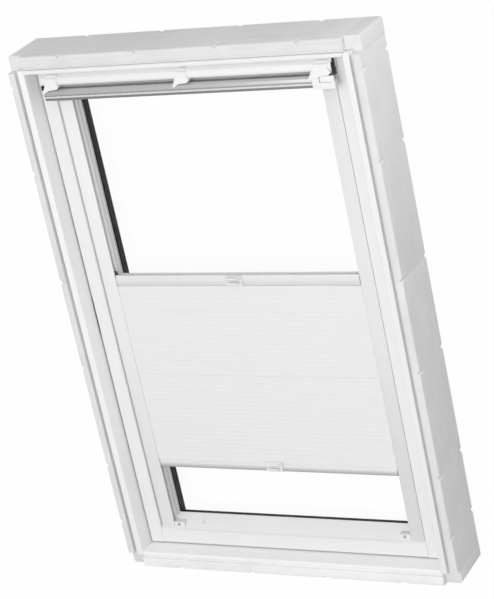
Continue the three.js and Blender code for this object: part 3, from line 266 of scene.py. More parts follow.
def only(piece):
    bpy.ops.object.select_all(action="DESELECT")
    piece.select_set(True)
    bpy.context.view_layer.objects.active = piece


def placed(piece):
    only(piece)
    bpy.ops.object.transform_apply(location=True, rotation=True, scale=True)
    return piece


def apply_modifiers(piece):
    only(piece)
    for modifier in list(piece.modifiers):
        bpy.ops.object.modifier_apply(modifier=modifier.name)


def smooth(piece, degrees=SMOOTH_ANGLE):
    only(piece)
    bpy.ops.object.shade_smooth_by_angle(angle=math.radians(degrees))


def finish_with(piece, material):
    piece.data.materials.clear()
    piece.data.materials.append(material)


def dress(names, material):
    """Gives CAD nodes a better material in their own slots."""
    for name in names:
        for place in frame["nodes"][name].material_slots:
            place.material = material


def side_x(node, sign):
    """The left or the right side of a node's box."""
    low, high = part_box(node)
    return high.x if sign > 0.0 else low.x


def in_seam(edge, seams):
    """Whether an edge lies in one of the seams, each given as an axis and a place on it."""
    return any(
        all(abs(vertex.co[axis] - place) < SEAM_REACH for vertex in edge.verts) for axis, place in seams)


def mark_corners(piece, crease, seams):
    """Says how far each corner is rounded: fully, or hardly at all where two pieces meet."""
    shape = bmesh.new()
    shape.from_mesh(piece.data)
    weights = shape.edges.layers.float.new("bevel_weight_edge")
    for edge in shape.edges:
        if edge.calc_face_angle(0.0) > math.radians(crease):
            edge[weights] = SEAM_WEIGHT if in_seam(edge, seams) else 1.0
    shape.to_mesh(piece.data)
    shape.free()


def softened(node, width, crease=CREASE, seams=(), steps=ROUND_STEPS):
    """A copy of a CAD node with its corners rounded, which stands for the node."""
    piece = bpy.data.objects.new(node + "_finished", frame["nodes"][node].data.copy())
    bpy.context.scene.collection.objects.link(piece)
    only(piece)
    if piece.data.has_custom_normals:
        bpy.ops.mesh.customdata_custom_splitnormals_clear()
    bpy.ops.object.mode_set(mode="EDIT")
    bpy.ops.mesh.select_all(action="SELECT")
    bpy.ops.mesh.remove_doubles(threshold=MERGE_REACH)
    bpy.ops.mesh.dissolve_limited(angle_limit=math.radians(FLAT_ANGLE))
    bpy.ops.object.mode_set(mode="OBJECT")
    mark_corners(piece, crease, seams)
    rounding = piece.modifiers.new("rounding", "BEVEL")
    rounding.width = width
    rounding.segments = steps
    rounding.limit_method = "WEIGHT"
    weighting = piece.modifiers.new("weighting", "WEIGHTED_NORMAL")
    weighting.keep_sharp = True
    apply_modifiers(piece)
    smooth(piece)
    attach(piece, frame["nodes"][node]["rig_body"])
    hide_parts(node)
    return piece


def soften_all(names, width, material, crease=CREASE, seams=()):
    for name in names:
        finish_with(softened(name, width, crease, seams), material)


def block(low, high, turned=0.0):
    """A box between two corners, then turned on its upright axis."""
    bpy.ops.mesh.primitive_cube_add(
        size=1.0, location=(Vector(low) + Vector(high)) / 2, rotation=(0.0, 0.0, turned))
    made = bpy.context.object
    made.scale = Vector(high) - Vector(low)
    return placed(made)


def spanned(corner, across, depths, heights):
    """Two corners of a box whose sides are measured from a corner."""
    return [corner + Vector(ends) for ends in zip(across, depths, heights)]


def strip(name, low, high, edge, material, slot, body):
    """A bar with rounded edges between two corners, which rides on a body."""
    made = block(low, high)
    made.name = name
    rounding = made.modifiers.new("rounding", "BEVEL")
    rounding.width = edge
    rounding.segments = ROUND_STEPS
    apply_modifiers(made)
    smooth(made)
    finish_with(made, material)
    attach(made, body)
    return made


def cut_away(piece, low, high, turned=0.0):
    """Takes a box out of a piece."""
    cutter = block(low, high, turned)
    cutting = piece.modifiers.new("cutting", "BOOLEAN")
    cutting.operation = "DIFFERENCE"
    cutting.solver = "EXACT"
    cutting.object = cutter
    apply_modifiers(piece)
    bpy.data.objects.remove(cutter)


def grooved(node, sign, rounding, width, depth, material):
    """A softened upright piece with a square groove along its outer front edge."""
    piece = softened(node, rounding)
    low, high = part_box(node)
    edge = side_x(node, sign)
    near, far = sorted((edge - sign * width, edge + sign * CUT_PAST))
    cut_away(piece, (near, low.y - CUT_PAST, low.z - CUT_PAST), (far, low.y + depth, high.z + CUT_PAST))
    finish_with(piece, material)


# Shader node groups

class Shading:
    """Places nodes in a node tree and joins them."""

    def __init__(self, tree):
        self.tree = tree

    def feed(self, socket, value):
        if isinstance(value, bpy.types.NodeSocket):
            self.tree.links.new(value, socket)
        else:
            socket.default_value = value

    def feed_all(self, node, inputs):
        for key, value in inputs.items():
            self.feed(node.inputs[key.replace("_", " ")], value)
        return node

    def node(self, kind, **inputs):
        return self.feed_all(self.tree.nodes.new(kind), inputs)

    def math(self, operation, first, second):
        made = self.tree.nodes.new("ShaderNodeMath")
        made.operation = operation
        self.feed(made.inputs[0], first)
        self.feed(made.inputs[1], second)
        return made.outputs[0]

    def add(self, first, second):
        return self.math("ADD", first, second)

    def times(self, first, second):
        return self.math("MULTIPLY", first, second)

    def swing(self, value, amount, middle=0.5):
        """How far a value lies above a middle, times an amount."""
        return self.times(self.math("SUBTRACT", value, middle), amount)

    def between(self, value, low, high, to_low=0.0, to_high=1.0):
        return self.node("ShaderNodeMapRange", Value=value, From_Min=low, From_Max=high,
                         To_Min=to_low, To_Max=to_high).outputs["Result"]

    def blend(self, amount, first, second, kind="MIX"):
        made = self.tree.nodes.new("ShaderNodeMix")
        made.data_type = "RGBA"
        made.blend_type = kind
        return self.feed_all(made, {"Factor": amount, "A": first, "B": second}).outputs["Result"]

    def mapped(self, vector, **change):
        return self.node("ShaderNodeMapping", Vector=vector, **change).outputs["Vector"]

    def upward(self, vector):
        return self.node("ShaderNodeSeparateXYZ", Vector=vector).outputs["Z"]

    def noise(self, vector, scale, detail=2.0, roughness=0.5, distortion=0.0):
        return self.node("ShaderNodeTexNoise", Vector=vector, Scale=scale, Detail=detail,
                         Roughness=roughness, Distortion=distortion).outputs["Fac"]

    def streaks(self, vector, scales, detail, roughness, distortion=0.0):
        """Noise with a scale of its own along each axis."""
        return self.noise(self.mapped(vector, Scale=scales), 1.0, detail, roughness, distortion)

    def cells(self, vector, scale, feature="F1"):
        made = self.node("ShaderNodeTexVoronoi", Vector=vector, Scale=scale)
        made.feature = feature
        return made.outputs["Distance"]


def rgba(values):
    return (*values, 1.0)


PALE = rgba((0.8, 0.8, 0.8))
SURFACE = {"Colour": "NodeSocketColor", "Roughness": "NodeSocketFloat", "Height": "NodeSocketFloat"}


def socket_kind(default):
    if default is None:
        return "NodeSocketVector"
    return "NodeSocketColor" if isinstance(default, tuple) else "NodeSocketFloat"


def new_group(name, outputs=SURFACE, **inputs):
    """An empty node group: the means to shade in it, what it is given and what it results in."""
    tree = bpy.data.node_groups.new(name, "ShaderNodeTree")
    for label, default in inputs.items():
        socket = tree.interface.new_socket(
            label.replace("_", " "), in_out="INPUT", socket_type=socket_kind(default))
        if default is not None:
            socket.default_value = default
    for label, kind in outputs.items():
        tree.interface.new_socket(label, in_out="OUTPUT", socket_type=kind)
    entry = tree.nodes.new("NodeGroupInput")
    leaving = tree.nodes.new("NodeGroupOutput")
    return Shading(tree), entry.outputs, leaving.inputs


def give_surface(s, given, result, amount, dark, roughness, height):
    """Feeds a group's results, with the given colour darkened by an amount."""
    darker = s.blend(1.0, given["Colour"], rgba(dark), "MULTIPLY")
    s.feed(result["Colour"], s.blend(amount, given["Colour"], darker))
    s.feed(result["Roughness"], roughness)
    s.feed(result["Height"], height)


def build_soft_paint(name):
    """Colour, roughness and height of a sprayed or brushed paint film."""
    s, given, result = new_group(
        name, Vector=None, Colour=PALE, Roughness=0.4, Peel_Scale=700.0, Tone=0.25, Grain=0.3)
    wide = s.noise(given["Vector"], 6.0, 3.0, 0.55)
    fine = s.noise(given["Vector"], given["Peel Scale"])
    grain = s.swing(s.streaks(given["Vector"], (160.0, 160.0, 7.0), 3.0, 0.6, 0.4), given["Grain"])
    tone = s.add(s.swing(wide, given["Tone"]), grain)
    give_surface(
        s, given, result, amount=s.add(tone, 0.15), dark=(0.90, 0.905, 0.905),
        roughness=s.add(given["Roughness"], s.swing(wide, 0.18)), height=s.add(s.times(fine, 0.35), grain))


def build_settled_dust(name):
    """Mask of the fine dust that lies on upward faces and in places that nobody wipes."""
    s, given, result = new_group(name, {"Mask": "NodeSocketFloat"}, Vector=None, Amount=0.3)
    level = s.between(s.upward(s.node("ShaderNodeNewGeometry").outputs["Normal"]), 0.55, 1.0)
    cloud = s.between(s.noise(given["Vector"], 26.0, 5.0, 0.62), 0.40, 0.75)
    specks = s.between(s.noise(given["Vector"], 850.0, 1.0), 0.52, 0.72)
    mask = s.times(s.times(level, cloud), s.add(specks, 0.35))
    s.feed(result["Mask"], s.times(mask, given["Amount"]))


def build_soft_corners(name):
    """Normal of a surface whose corners are slightly rounded."""
    s, given, result = new_group(name, {"Normal": "NodeSocketVector"}, Radius=0.001)
    bevel = s.node("ShaderNodeBevel", Radius=given["Radius"])
    bevel.samples = 6
    s.feed(result["Normal"], bevel.outputs["Normal"])


def build_foam(name):
    """Colour and height of closed-cell foam: small cells, larger lumps and scuffs."""
    s, given, result = new_group(name, Vector=None, Colour=PALE, Cell=400.0, Mottle=0.1)
    place, mottle = given["Vector"], given["Mottle"]
    warp = s.node("ShaderNodeTexNoise", Vector=place, Scale=90.0, Detail=1.0).outputs["Color"]
    cell = s.cells(s.blend(0.008, place, warp), given["Cell"], "SMOOTH_F1")
    lump = s.noise(place, 38.0, 4.0, 0.6)
    broad = s.noise(place, 7.0, 3.0)
    scuff = s.between(s.streaks(place, (40.0, 220.0, 14.0), 4.0, 0.7, 1.2), 0.62, 0.78)
    streak = s.streaks(place, (9.0, 75.0, 16.0), 3.0, 0.55, 0.8)
    clouded = s.add(s.swing(broad, -1.1, 0.60), s.swing(streak, -1.0))
    shade = s.times(s.add(clouded, s.swing(cell, 0.3, 0.35)), mottle)
    raised = s.add(s.times(cell, -0.55), s.times(lump, 1.6))
    give_surface(
        s, given, result, amount=s.add(shade, s.times(scuff, s.times(mottle, 0.35))),
        dark=(0.72, 0.72, 0.735), roughness=s.between(lump, 0.3, 0.7, 0.78, 0.95),
        height=s.add(raised, s.times(scuff, -0.5)))


def build_drawn_metal(name):
    """Colour, roughness and height of metal with fine lines along its length."""
    s, given, result = new_group(name, Vector=None, Colour=PALE, Roughness=0.35, Lines=0.5)
    lines = s.streaks(given["Vector"], (4.0, 2600.0, 2600.0), 2.0, 0.5)
    tint = s.streaks(given["Vector"], (3.0, 60.0, 60.0), 3.0, 0.6)
    smear = s.noise(given["Vector"], 22.0, 4.0, 0.65)
    change = s.times(s.add(s.swing(lines, given["Lines"]), s.swing(tint, 0.5)), 0.5)
    give_surface(
        s, given, result, amount=s.add(change, 0.15), dark=(0.72, 0.73, 0.75),
        roughness=s.add(given["Roughness"], s.swing(smear, 0.25)), height=s.times(lines, given["Lines"]))


def build_pressed_fibre(name):
    """Colour and height of a non-woven cloth, with its short crossing fibres."""
    s, given, result = new_group(name, Vector=None, Colour=PALE, Contrast=0.25)
    place, contrast = given["Vector"], given["Contrast"]
    across = s.streaks(place, (220.0, 1500.0, 1500.0), 3.0, 0.6, 0.8)
    upright = s.streaks(place, (1500.0, 1500.0, 260.0), 3.0, 0.6, 0.8)
    cloud = s.noise(place, 55.0, 4.0, 0.6)
    fibres = s.math("MAXIMUM", across, upright)
    gaps = s.times(s.swing(fibres, -1.0, 0.75), contrast)
    give_surface(
        s, given, result, amount=s.add(gaps, s.swing(cloud, s.times(contrast, 0.8), 0.4)),
        dark=(0.88, 0.885, 0.89), roughness=s.between(cloud, 0.3, 0.7, 0.82, 0.94),
        height=s.add(fibres, s.times(cloud, 0.4)))


def build_moulded_skin(name):
    """Colour, roughness and height of moulded plastic or rubber."""
    s, given, result = new_group(name, Vector=None, Colour=PALE, Roughness=0.4, Grain=1400.0)
    grain = s.cells(given["Vector"], given["Grain"])
    flow = s.noise(given["Vector"], 30.0, 3.0, 0.5, 0.6)
    give_surface(
        s, given, result, amount=s.between(flow, 0.35, 0.70, 0.0, 0.45), dark=(0.90, 0.90, 0.90),
        roughness=s.add(given["Roughness"], s.swing(flow, 0.20)),
        height=s.add(s.times(grain, 0.5), s.times(flow, 0.2)))


GROUPS = {
    "soft paint": build_soft_paint,
    "settled dust": build_settled_dust,
    "soft corners": build_soft_corners,
    "closed foam": build_foam,
    "drawn metal": build_drawn_metal,
    "pressed fibre": build_pressed_fibre,
    "moulded skin": build_moulded_skin,
}


def group_once(name):
    if name not in bpy.data.node_groups:
        GROUPS[name](name)
    return bpy.data.node_groups[name]


# Materials

ROOM_DUST = (0.62, 0.60, 0.56)
ROOF_DUST = (0.30, 0.29, 0.27)


class Finish:
    """One material with its shader, a place to read the object's own coordinates, and its effects."""

    def __init__(self, name, **constants):
        self.material = bpy.data.materials.new(name)
        self.material.use_nodes = True
        tree = self.material.node_tree
        self.s = Shading(tree)
        self.shader = next(node for node in tree.nodes if node.type == "BSDF_PRINCIPLED")
        self.out = next(node for node in tree.nodes if node.type == "OUTPUT_MATERIAL")
        self.place = tree.nodes.new("ShaderNodeTexCoord").outputs["Object"]
        self.s.feed_all(self.shader, constants)

    def effect(self, name, **inputs):
        made = self.s.tree.nodes.new("ShaderNodeGroup")
        made.node_tree = group_once(name)
        if "Vector" in made.inputs:
            inputs["Vector"] = self.place
        return self.s.feed_all(made, inputs).outputs

    def surface(self, effect, bump, depth, corner=0.0, dust=0.0, dust_colour=ROOM_DUST):
        s = self.s
        colour_now, rough_now = effect["Colour"], effect["Roughness"]
        if dust:
            mask = self.effect("settled dust", Amount=dust)["Mask"]
            colour_now = s.blend(mask, colour_now, rgba(dust_colour))
            rough_now = s.add(rough_now, s.times(mask, 0.3))
        raised = s.node("ShaderNodeBump", Strength=bump, Distance=depth, Height=effect["Height"])
        if corner:
            s.feed(raised.inputs["Normal"], self.effect("soft corners", Radius=corner)["Normal"])
        s.feed_all(self.shader, {
            "Base Color": colour_now, "Roughness": rough_now, "Normal": raised.outputs["Normal"]})
        return self.material

    def mixed_with(self, other, amount):
        """Shows another shader in place of its own, by an amount."""
        mixed = self.s.node("ShaderNodeMixShader", Fac=amount)
        self.s.feed(mixed.inputs[1], self.shader.outputs["BSDF"])
        self.s.feed(mixed.inputs[2], other.outputs[0])
        self.s.feed(self.out.inputs["Surface"], mixed.outputs[0])
        return self.material


def foam_finish(name, c, tone):
    f = Finish(name, Specular_IOR_Level=0.25)
    foam = f.effect("closed foam", Colour=rgba(tone), Cell=1.0 / c.cell, Mottle=c.mottle)
    return f.surface(foam, 0.5, 0.0006)


def paint_finish(name, c, paint, coat, level=False):
    """Paint on timber, whose grain runs upwards or, in a level member, sideways."""
    f = Finish(name, Coat_Weight=coat, Coat_Roughness=0.25)
    if level:
        f.place = f.s.mapped(f.place, Rotation=(0.0, math.pi / 2, 0.0))
    film = f.effect("soft paint", Colour=rgba(paint), Roughness=0.38, Grain=c.grain)
    return f.surface(film, 0.25, 0.0003, c.round_edge, dust=0.10)


def powder_film(f, paint):
    return f.effect("soft paint", Colour=rgba(paint), Roughness=0.42, Peel_Scale=1100.0, Grain=0.0)


def powder_finish(name, paint):
    f = Finish(name)
    return f.surface(powder_film(f, paint), 0.30, 0.0003, dust=0.08)


def painted_shade_finish(name, paint, low, high, fall):
    """A powder coating with painted shade, which darkens to a share of its tone between two heights."""
    f = Finish(name)
    film = powder_film(f, paint)
    dark = f.s.blend(1.0, film["Colour"], rgba((fall, fall, fall)), "MULTIPLY")
    painted_shade_colour = f.s.blend(f.s.between(f.s.upward(f.place), low, high, 1.0, 0.0), film["Colour"], dark)
    return f.surface(
        {"Colour": painted_shade_colour, "Roughness": film["Roughness"], "Height": film["Height"]}, 0.30, 0.0003)


def cover_finish(c):
    f = Finish("outer_cover_coating", Coat_Weight=0.1, Coat_Roughness=0.3)
    film = f.effect(
        "soft paint", Colour=rgba(c.cover), Roughness=0.48, Peel_Scale=1300.0, Tone=0.10, Grain=0.0)
    return f.surface(film, 0.35, 0.0003, 0.001, dust=0.28, dust_colour=ROOF_DUST)


def metal_finish(name, tone, metallic, roughness, lines=0.5, corner=0.0):
    f = Finish(name, Metallic=metallic)
    drawn = f.effect("drawn metal", Colour=rgba(tone), Roughness=roughness, Lines=lines)
    return f.surface(drawn, 0.2, 0.0002, corner)


def steel_finish(c):
    return metal_finish("zinc_plated_steel", c.steel, 1.0, 0.34, 0.35, 0.0006)


def plastic_finish(name, tone, roughness=0.40, corner=0.0):
    f = Finish(name)
    skin = f.effect("moulded skin", Colour=rgba(tone), Roughness=roughness)
    return f.surface(skin, 0.18, 0.0002, corner, dust=0.06)


def rubber_finish(name, tone):
    f = Finish(name, Specular_IOR_Level=0.3)
    skin = f.effect("moulded skin", Colour=rgba(tone), Roughness=0.62, Grain=1800.0)
    return f.surface(skin, 0.3, 0.0003, 0.0008)


def cloth_finish(c):
    f = Finish("pleated_cloth", Sheen_Weight=0.15, Sheen_Roughness=0.5, Specular_IOR_Level=0.2)
    return f.surface(f.effect("pressed fibre", Colour=rgba(c.cloth)), 0.35, 0.0002)


def glass_finish(c):
    """Clear glass that lamps shine through, with a film of fine dust."""
    f = Finish("clear_glass", Transmission_Weight=1.0, IOR=1.2, Specular_IOR_Level=0.25)
    s = f.s
    film = s.between(s.noise(f.place, 9.0, 4.0, 0.6), 0.45, 0.8, 0.0, 0.012)
    s.feed(f.shader.inputs["Base Color"], s.blend(film, rgba(c.glass), rgba((0.80, 0.81, 0.80))))
    s.feed(f.shader.inputs["Roughness"], s.between(s.noise(f.place, 30.0, 3.0), 0.4, 0.8, 0.0, 0.02))
    light = s.node("ShaderNodeLightPath").outputs
    let_by = s.math("MAXIMUM", light["Is Shadow Ray"], light["Is Diffuse Ray"])
    return f.mixed_with(s.node("ShaderNodeBsdfTransparent", Color=rgba((0.95, 0.97, 0.96))), let_by)


# Pleated cloth

# A quarter of a cell's section, from its glued strip to its fold: shares of the way out from the
# strip's edge to the fold, and of the cell's height
CELL_QUARTER = ((0.0, 0.5), (0.52, 0.26), (0.91, 0.07), (1.0, 0.0))
CLOTH_STEPS = 24
CLOTH_SMOOTH_ANGLE = 38.0

# How far a fold wanders in depth and in height, and the waves that it follows: radians for each
# metre along X and Z, and size
SWAY = 0.00022
SWAY_WAVES = ((21.0, 160.0, 0.5), (47.0, -90.0, 0.3))
LIFT = 0.00018
LIFT_WAVES = ((33.0, 75.0, 1.0),)


def cell_ring(middle_y, low, high, fold, land):
    """Section of one honeycomb cell: depth and height of its points, front side first."""
    half = (low + high) / 2
    quarter = [(land + (fold - land) * out, (high - low) * up) for out, up in CELL_QUARTER]
    ring = []
    for side in (-1.0, 1.0):
        ring += [(middle_y + side * depth, half + side * height) for depth, height in quarter]
        ring += [(middle_y + side * depth, half - side * height) for depth, height in quarter[-2::-1]]
    return ring


def ring_length(ring):
    return sum(math.dist(ring[i - 1], ring[i]) for i in range(len(ring)))


def cell_tube(name, ring, half_width, steps):
    """One cell as an open tube along X: a circle shaped to the cell's section and drawn out."""
    bpy.ops.mesh.primitive_circle_add(vertices=len(ring))
    tube = bpy.context.object
    tube.name = name
    bpy.ops.object.mode_set(mode="EDIT")
    shape = bmesh.from_edit_mesh(tube.data)
    shape.verts.ensure_lookup_table()
    for vertex, (y, z) in zip(shape.verts, ring):
        vertex.co = (-half_width, y, z)
    bmesh.update_edit_mesh(tube.data)
    bpy.ops.mesh.select_all(action="SELECT")
    step = 2 * half_width / steps
    for _ in range(steps):
        bpy.ops.mesh.extrude_region_move(TRANSFORM_OT_translate={"value": (step, 0.0, 0.0)})
    bpy.ops.mesh.select_all(action="SELECT")
    bpy.ops.mesh.normals_make_consistent(inside=False)
    bpy.ops.object.mode_set(mode="OBJECT")
    return tube


def pleated_cloth(name, node, low, cells, pitch, settings, material):
    """A stack of equal cells that stands on a height, and its flat size."""
    box_low, box_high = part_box(node)
    middle_y = (box_low.y + box_high.y) / 2
    ring = cell_ring(middle_y, low, low + pitch, settings.fold_reach, settings.land_reach)
    cloth = cell_tube(name, ring, settings.half_width, CLOTH_STEPS)
    stack = cloth.modifiers.new("stack", "ARRAY")
    stack.count = cells
    stack.use_relative_offset = False
    stack.use_constant_offset = True
    stack.constant_offset_displace = (0.0, 0.0, pitch)
    apply_modifiers(cloth)
    unevenness(cloth, middle_y, settings.fold_reach)
    wall = cloth.modifiers.new("wall", "SOLIDIFY")
    wall.thickness = settings.thickness
    wall.offset = -1.0
    apply_modifiers(cloth)
    smooth(cloth, CLOTH_SMOOTH_ANGLE)
    finish_with(cloth, material)
    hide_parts(node)
    flat = (2 * settings.half_width, ring_length(ring) * cells)
    return cloth, flat


def cloth_parts(cells):
    """The parts of a half cloth from its held end, as the first cell and the cell after the last, and where
    the motion starts and ends, in shares of the half. The motion between the single cells at both ends runs
    on evenly."""
    edge = 1.0 / cells
    step = 0.5 - math.sin(math.asin(1.0 - 2.0 * edge) / 3.0)
    reach = edge / step
    middle = (1.0 - 2.0 * edge) / (1.0 - 2.0 * step)
    start = edge - step * middle
    return (
        ("held_cell", 0, 1, 0.0, reach),
        ("folds", 1, cells - 1, start, start + middle),
        ("moved_cell", cells - 1, cells, 1.0 - reach, 1.0),
    )


def wave(x, z, parts):
    return sum(size * math.sin(x * across + z * upward) for across, upward, size in parts)


def unevenness(cloth, middle_y, fold):
    """Moves the folds a little, as no two folds of real cloth lie quite alike."""
    for vertex in cloth.data.vertices:
        x, y, z = vertex.co
        reach = abs(y - middle_y) / fold
        vertex.co.y = y + SWAY * reach * wave(x, z, SWAY_WAVES)
        vertex.co.z = z + LIFT * reach * wave(x, z, LIFT_WAVES)


# Screws

# A head's sunk face, its rounding and the bars of its cross recess, in shares of its radius and height
FACE_INSET = 0.42
FACE_DEPTH = 0.30
FACE_ROUNDING = 0.12
CROSS_LENGTH = 1.05
CROSS_WIDTH = 0.24
CROSS_FOOT = 0.45
CROSS_TOP = 1.95
HEAD_SIDES = 24
HEAD_SMOOTH_ANGLE = 35.0

# Angle by which each screw is turned further than the one before, in radians
SCREW_TURN = 0.7


def screw_head(radius, height):
    """A pan head with a cross recess, standing on the origin."""
    bpy.ops.mesh.primitive_cylinder_add(
        vertices=HEAD_SIDES, radius=radius, depth=height, location=(0.0, 0.0, height / 2))
    head = placed(bpy.context.object)
    bpy.ops.object.mode_set(mode="EDIT")
    shape = bmesh.from_edit_mesh(head.data)
    bpy.ops.mesh.select_all(action="DESELECT")
    for face in shape.faces:
        face.select = face.normal.z > 0.9
    bmesh.update_edit_mesh(head.data)
    bpy.ops.mesh.inset(thickness=radius * FACE_INSET, depth=height * FACE_DEPTH)
    bpy.ops.mesh.bevel(offset=radius * FACE_ROUNDING, segments=2, affect="EDGES")
    bpy.ops.object.mode_set(mode="OBJECT")
    x, y = radius * CROSS_LENGTH / 2, radius * CROSS_WIDTH / 2
    for turned in (0.0, math.pi / 2):
        cut_away(head, (-x, -y, height * CROSS_FOOT), (x, y, height * CROSS_TOP), turned)
    smooth(head, HEAD_SMOOTH_ANGLE)
    return head


def set_screws(model, places, material):
    """Copies of a screw's head, each with its own mesh and turn: name, body, place and direction."""
    for number, (name, body, place, direction) in enumerate(places):
        head = bpy.data.objects.new(name, model.data.copy())
        bpy.context.scene.collection.objects.link(head)
        aim = Vector(direction).to_track_quat("Z", "Y").to_matrix().to_4x4()
        turn = Matrix.Rotation(SCREW_TURN * number, 4, "Z")
        head.data.transform(Matrix.Translation(Vector(place)) @ aim @ turn)
        finish_with(head, material)
        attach(head, body)
    bpy.data.objects.remove(model)


# Operators

class PieceOperator:
    bl_options = {"REGISTER", "UNDO"}

    def execute(self, context):
        self.make(context.scene)
        return {"FINISHED"}


# In the collar: the angle from which corners are rounded, the height below which a piece stands at
# its foot, and how far its groove floors stop short of the boards' ends, with their radius
BOARD_CREASE = 30.0
FOOT_ZONE = 0.1
FLOOR_END = 0.001
FLOOR_EDGE = 0.0004


class ROOFWINDOW_OT_collar(PieceOperator, bpy.types.Operator):
    """Finishes the boards and corner blocks of the foam collar"""
    bl_idname = "roofwindow.collar"
    bl_label = "Foam collar"

    def make(self, scene):
        c = scene.roofwindow_collar
        foam = foam_finish("collar_foam", c, c.foam)
        # The bottom board and its bottom groove floor take the lighter foam as painted light
        pale = foam_finish("bottom_board_lit_foam", c, c.lit_foot_foam)
        seams = self.seams()
        for names, material in ((COLLAR_BOARDS[1:] + COLLAR_CORNERS, foam), (COLLAR_BOARDS[:1], pale)):
            soften_all(names, c.round_edge, material, BOARD_CREASE, seams)
        self.groove_floors(c, foam, pale)

    def groove_floors(self, c, foam, pale):
        """Foam strips that make the grooves above and below the frame shallow."""
        frame_low, frame_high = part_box("frame_left")
        for end, edge, out, depth, material in (
            ("top", frame_high.z, 1.0, c.top_groove, foam),
            ("bottom", frame_low.z, -1.0, c.bottom_groove, pale),
        ):
            low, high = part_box("collar_" + end)
            near, far = sorted((edge + out * c.groove_play, edge + out * (c.groove_play + c.groove_rise)))
            strip("groove_floor_" + end, (low.x + FLOOR_END, low.y + depth, near),
                  (high.x - FLOOR_END, low.y + c.groove_back, far), FLOOR_EDGE, material, "foam", "frame")

    def seams(self):
        """Where the boards meet the corner blocks: across the top and bottom, and up the sides."""
        seams = []
        for corner in COLLAR_CORNERS:
            low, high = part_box(corner)
            seams.append((0, low.x if low.x > 0.0 else high.x))
            seams.append((2, high.z if low.z < FOOT_ZONE else low.z))
        for end in ("collar_bottom", "collar_top"):
            low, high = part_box(end)
            seams += [(0, low.x), (0, high.x)]
        for side in ("collar_left_lower", "collar_left_upper"):
            low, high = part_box(side)
            seams.append((2, low.z if low.z < FOOT_ZONE else high.z))
        return seams


class ROOFWINDOW_OT_timber(PieceOperator, bpy.types.Operator):
    """Paints the fixed frame and the sash"""
    bl_idname = "roofwindow.timber"
    bl_label = "Painted timber"

    def make(self, scene):
        c = scene.roofwindow_timber
        # Painted light: the bottom member's paint is lighter than the frame's
        for name, paint, coat, level, pieces in (
            ("frame_paint_level", c.frame_paint, c.coat, True, ("frame_top",)),
            ("frame_paint_sill_lit", c.lit_sill_paint, c.sill_coat, True, ("frame_bottom",)),
            ("sash_paint_upright", c.sash_paint, c.coat, False, ("sash_left", "sash_right")),
            ("sash_paint_level", c.sash_paint, c.coat, True, ("sash_top", "sash_bottom")),
        ):
            dress(pieces, paint_finish(name, c, paint, coat, level))
        # Painted light: the left member's paint is lighter than the right member's
        for node, sign, paint, depth in (
            ("frame_left", -1.0, c.lit_left_paint, c.left_groove_depth),
            ("frame_right", 1.0, c.frame_paint, c.groove_depth),
        ):
            grooved(node, sign, c.round_edge, c.groove_width, depth,
                    paint_finish(node + "_paint", c, paint, c.coat))


# Radius of a glazing ring's edges. Of a lip shade strip, a grey strip painted as shade over a stile's lip:
# its overlap with a rail's inner face, its gap behind the rail, its height above the rail's foot and its
# radius.
RING_EDGE = 0.0003
LIP_OVERLAP = 0.0004
LIP_GAP = 0.0001
LIP_FOOT = 0.004
LIP_SHADE_EDGE = 0.0005


class ROOFWINDOW_OT_outside(PieceOperator, bpy.types.Operator):
    """Finishes the glazing, the seals and the outer covers"""
    bl_idname = "roofwindow.outside"
    bl_label = "Glazing and covers"

    def make(self, scene):
        c = scene.roofwindow_outer
        dress(COVERS, cover_finish(c))
        dress(PANES, glass_finish(c))
        rubber = rubber_finish("black_rubber", c.rubber)
        dress(("sash_seal",), rubber)
        for node in ("glazing_gasket", "pane_spacer"):
            self.trimmed_ring(node, rubber, c)
        self.lip_shade_strips(rubber_finish("lip_painted_shade", c.lip_shade), c)
        dress(STEEL, steel_finish(c))

    def trimmed_ring(self, node, material, c):
        """A glazing ring whose opening is a little wider at the sides and the foot."""
        low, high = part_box(node)
        ring = softened(node, RING_EDGE, steps=2)
        half = high.x - c.ring_width
        cut_away(ring, (-half, low.y - CUT_PAST, low.z + c.ring_foot),
                 (half, high.y + CUT_PAST, high.z - c.ring_rise))
        finish_with(ring, material)

    def lip_shade_strips(self, material, c):
        """Grey strips over the stiles' lips, beside the guide rails, as painted shade."""
        for side, sign in SIDES:
            rail = "guide_rail_" + side
            low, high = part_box(rail)
            inner = side_x(rail, -sign)
            near, far = sorted((inner + sign * LIP_OVERLAP, inner - sign * c.lip_reach))
            strip("lip_shade_strip_" + side, (near, high.y + LIP_GAP, low.z + LIP_FOOT),
                  (far, high.y + c.lip_depth, high.z), LIP_SHADE_EDGE, material, "black_rubber", "sash")


# Painted highlight strip and painted shade lip along the control bar: depths and heights from its low
# corner, and radius
RIM = ((0.0014, 0.0030), (0.0052, 0.0094), 0.0007)
LIP = ((0.0014, 0.0042), (0.0001, 0.0050), 0.0009)

# Near-black plates on the flap's ends as painted shade, from the flap's box: near and far side, front, back,
# foot and top, and radius. Then the depth and height of the corner cut off so that they clear the frame's
# top.
PLATE_SIDES = (0.0002, 0.0008)
PLATE_FRONT, PLATE_BACK = 0.003, -0.006
PLATE_FOOT, PLATE_TOP = -0.012, -0.002
PLATE_EDGE = 0.0002
PLATE_CORNER = (0.0105, 0.010)

# Web in the right arm's foot, from the lower front corner of the arm's right side, and its radius
WEB = ((-0.0320, -0.0012), (0.0006, 0.0050), (0.0134, 0.0262))
WEB_EDGE = 0.0006


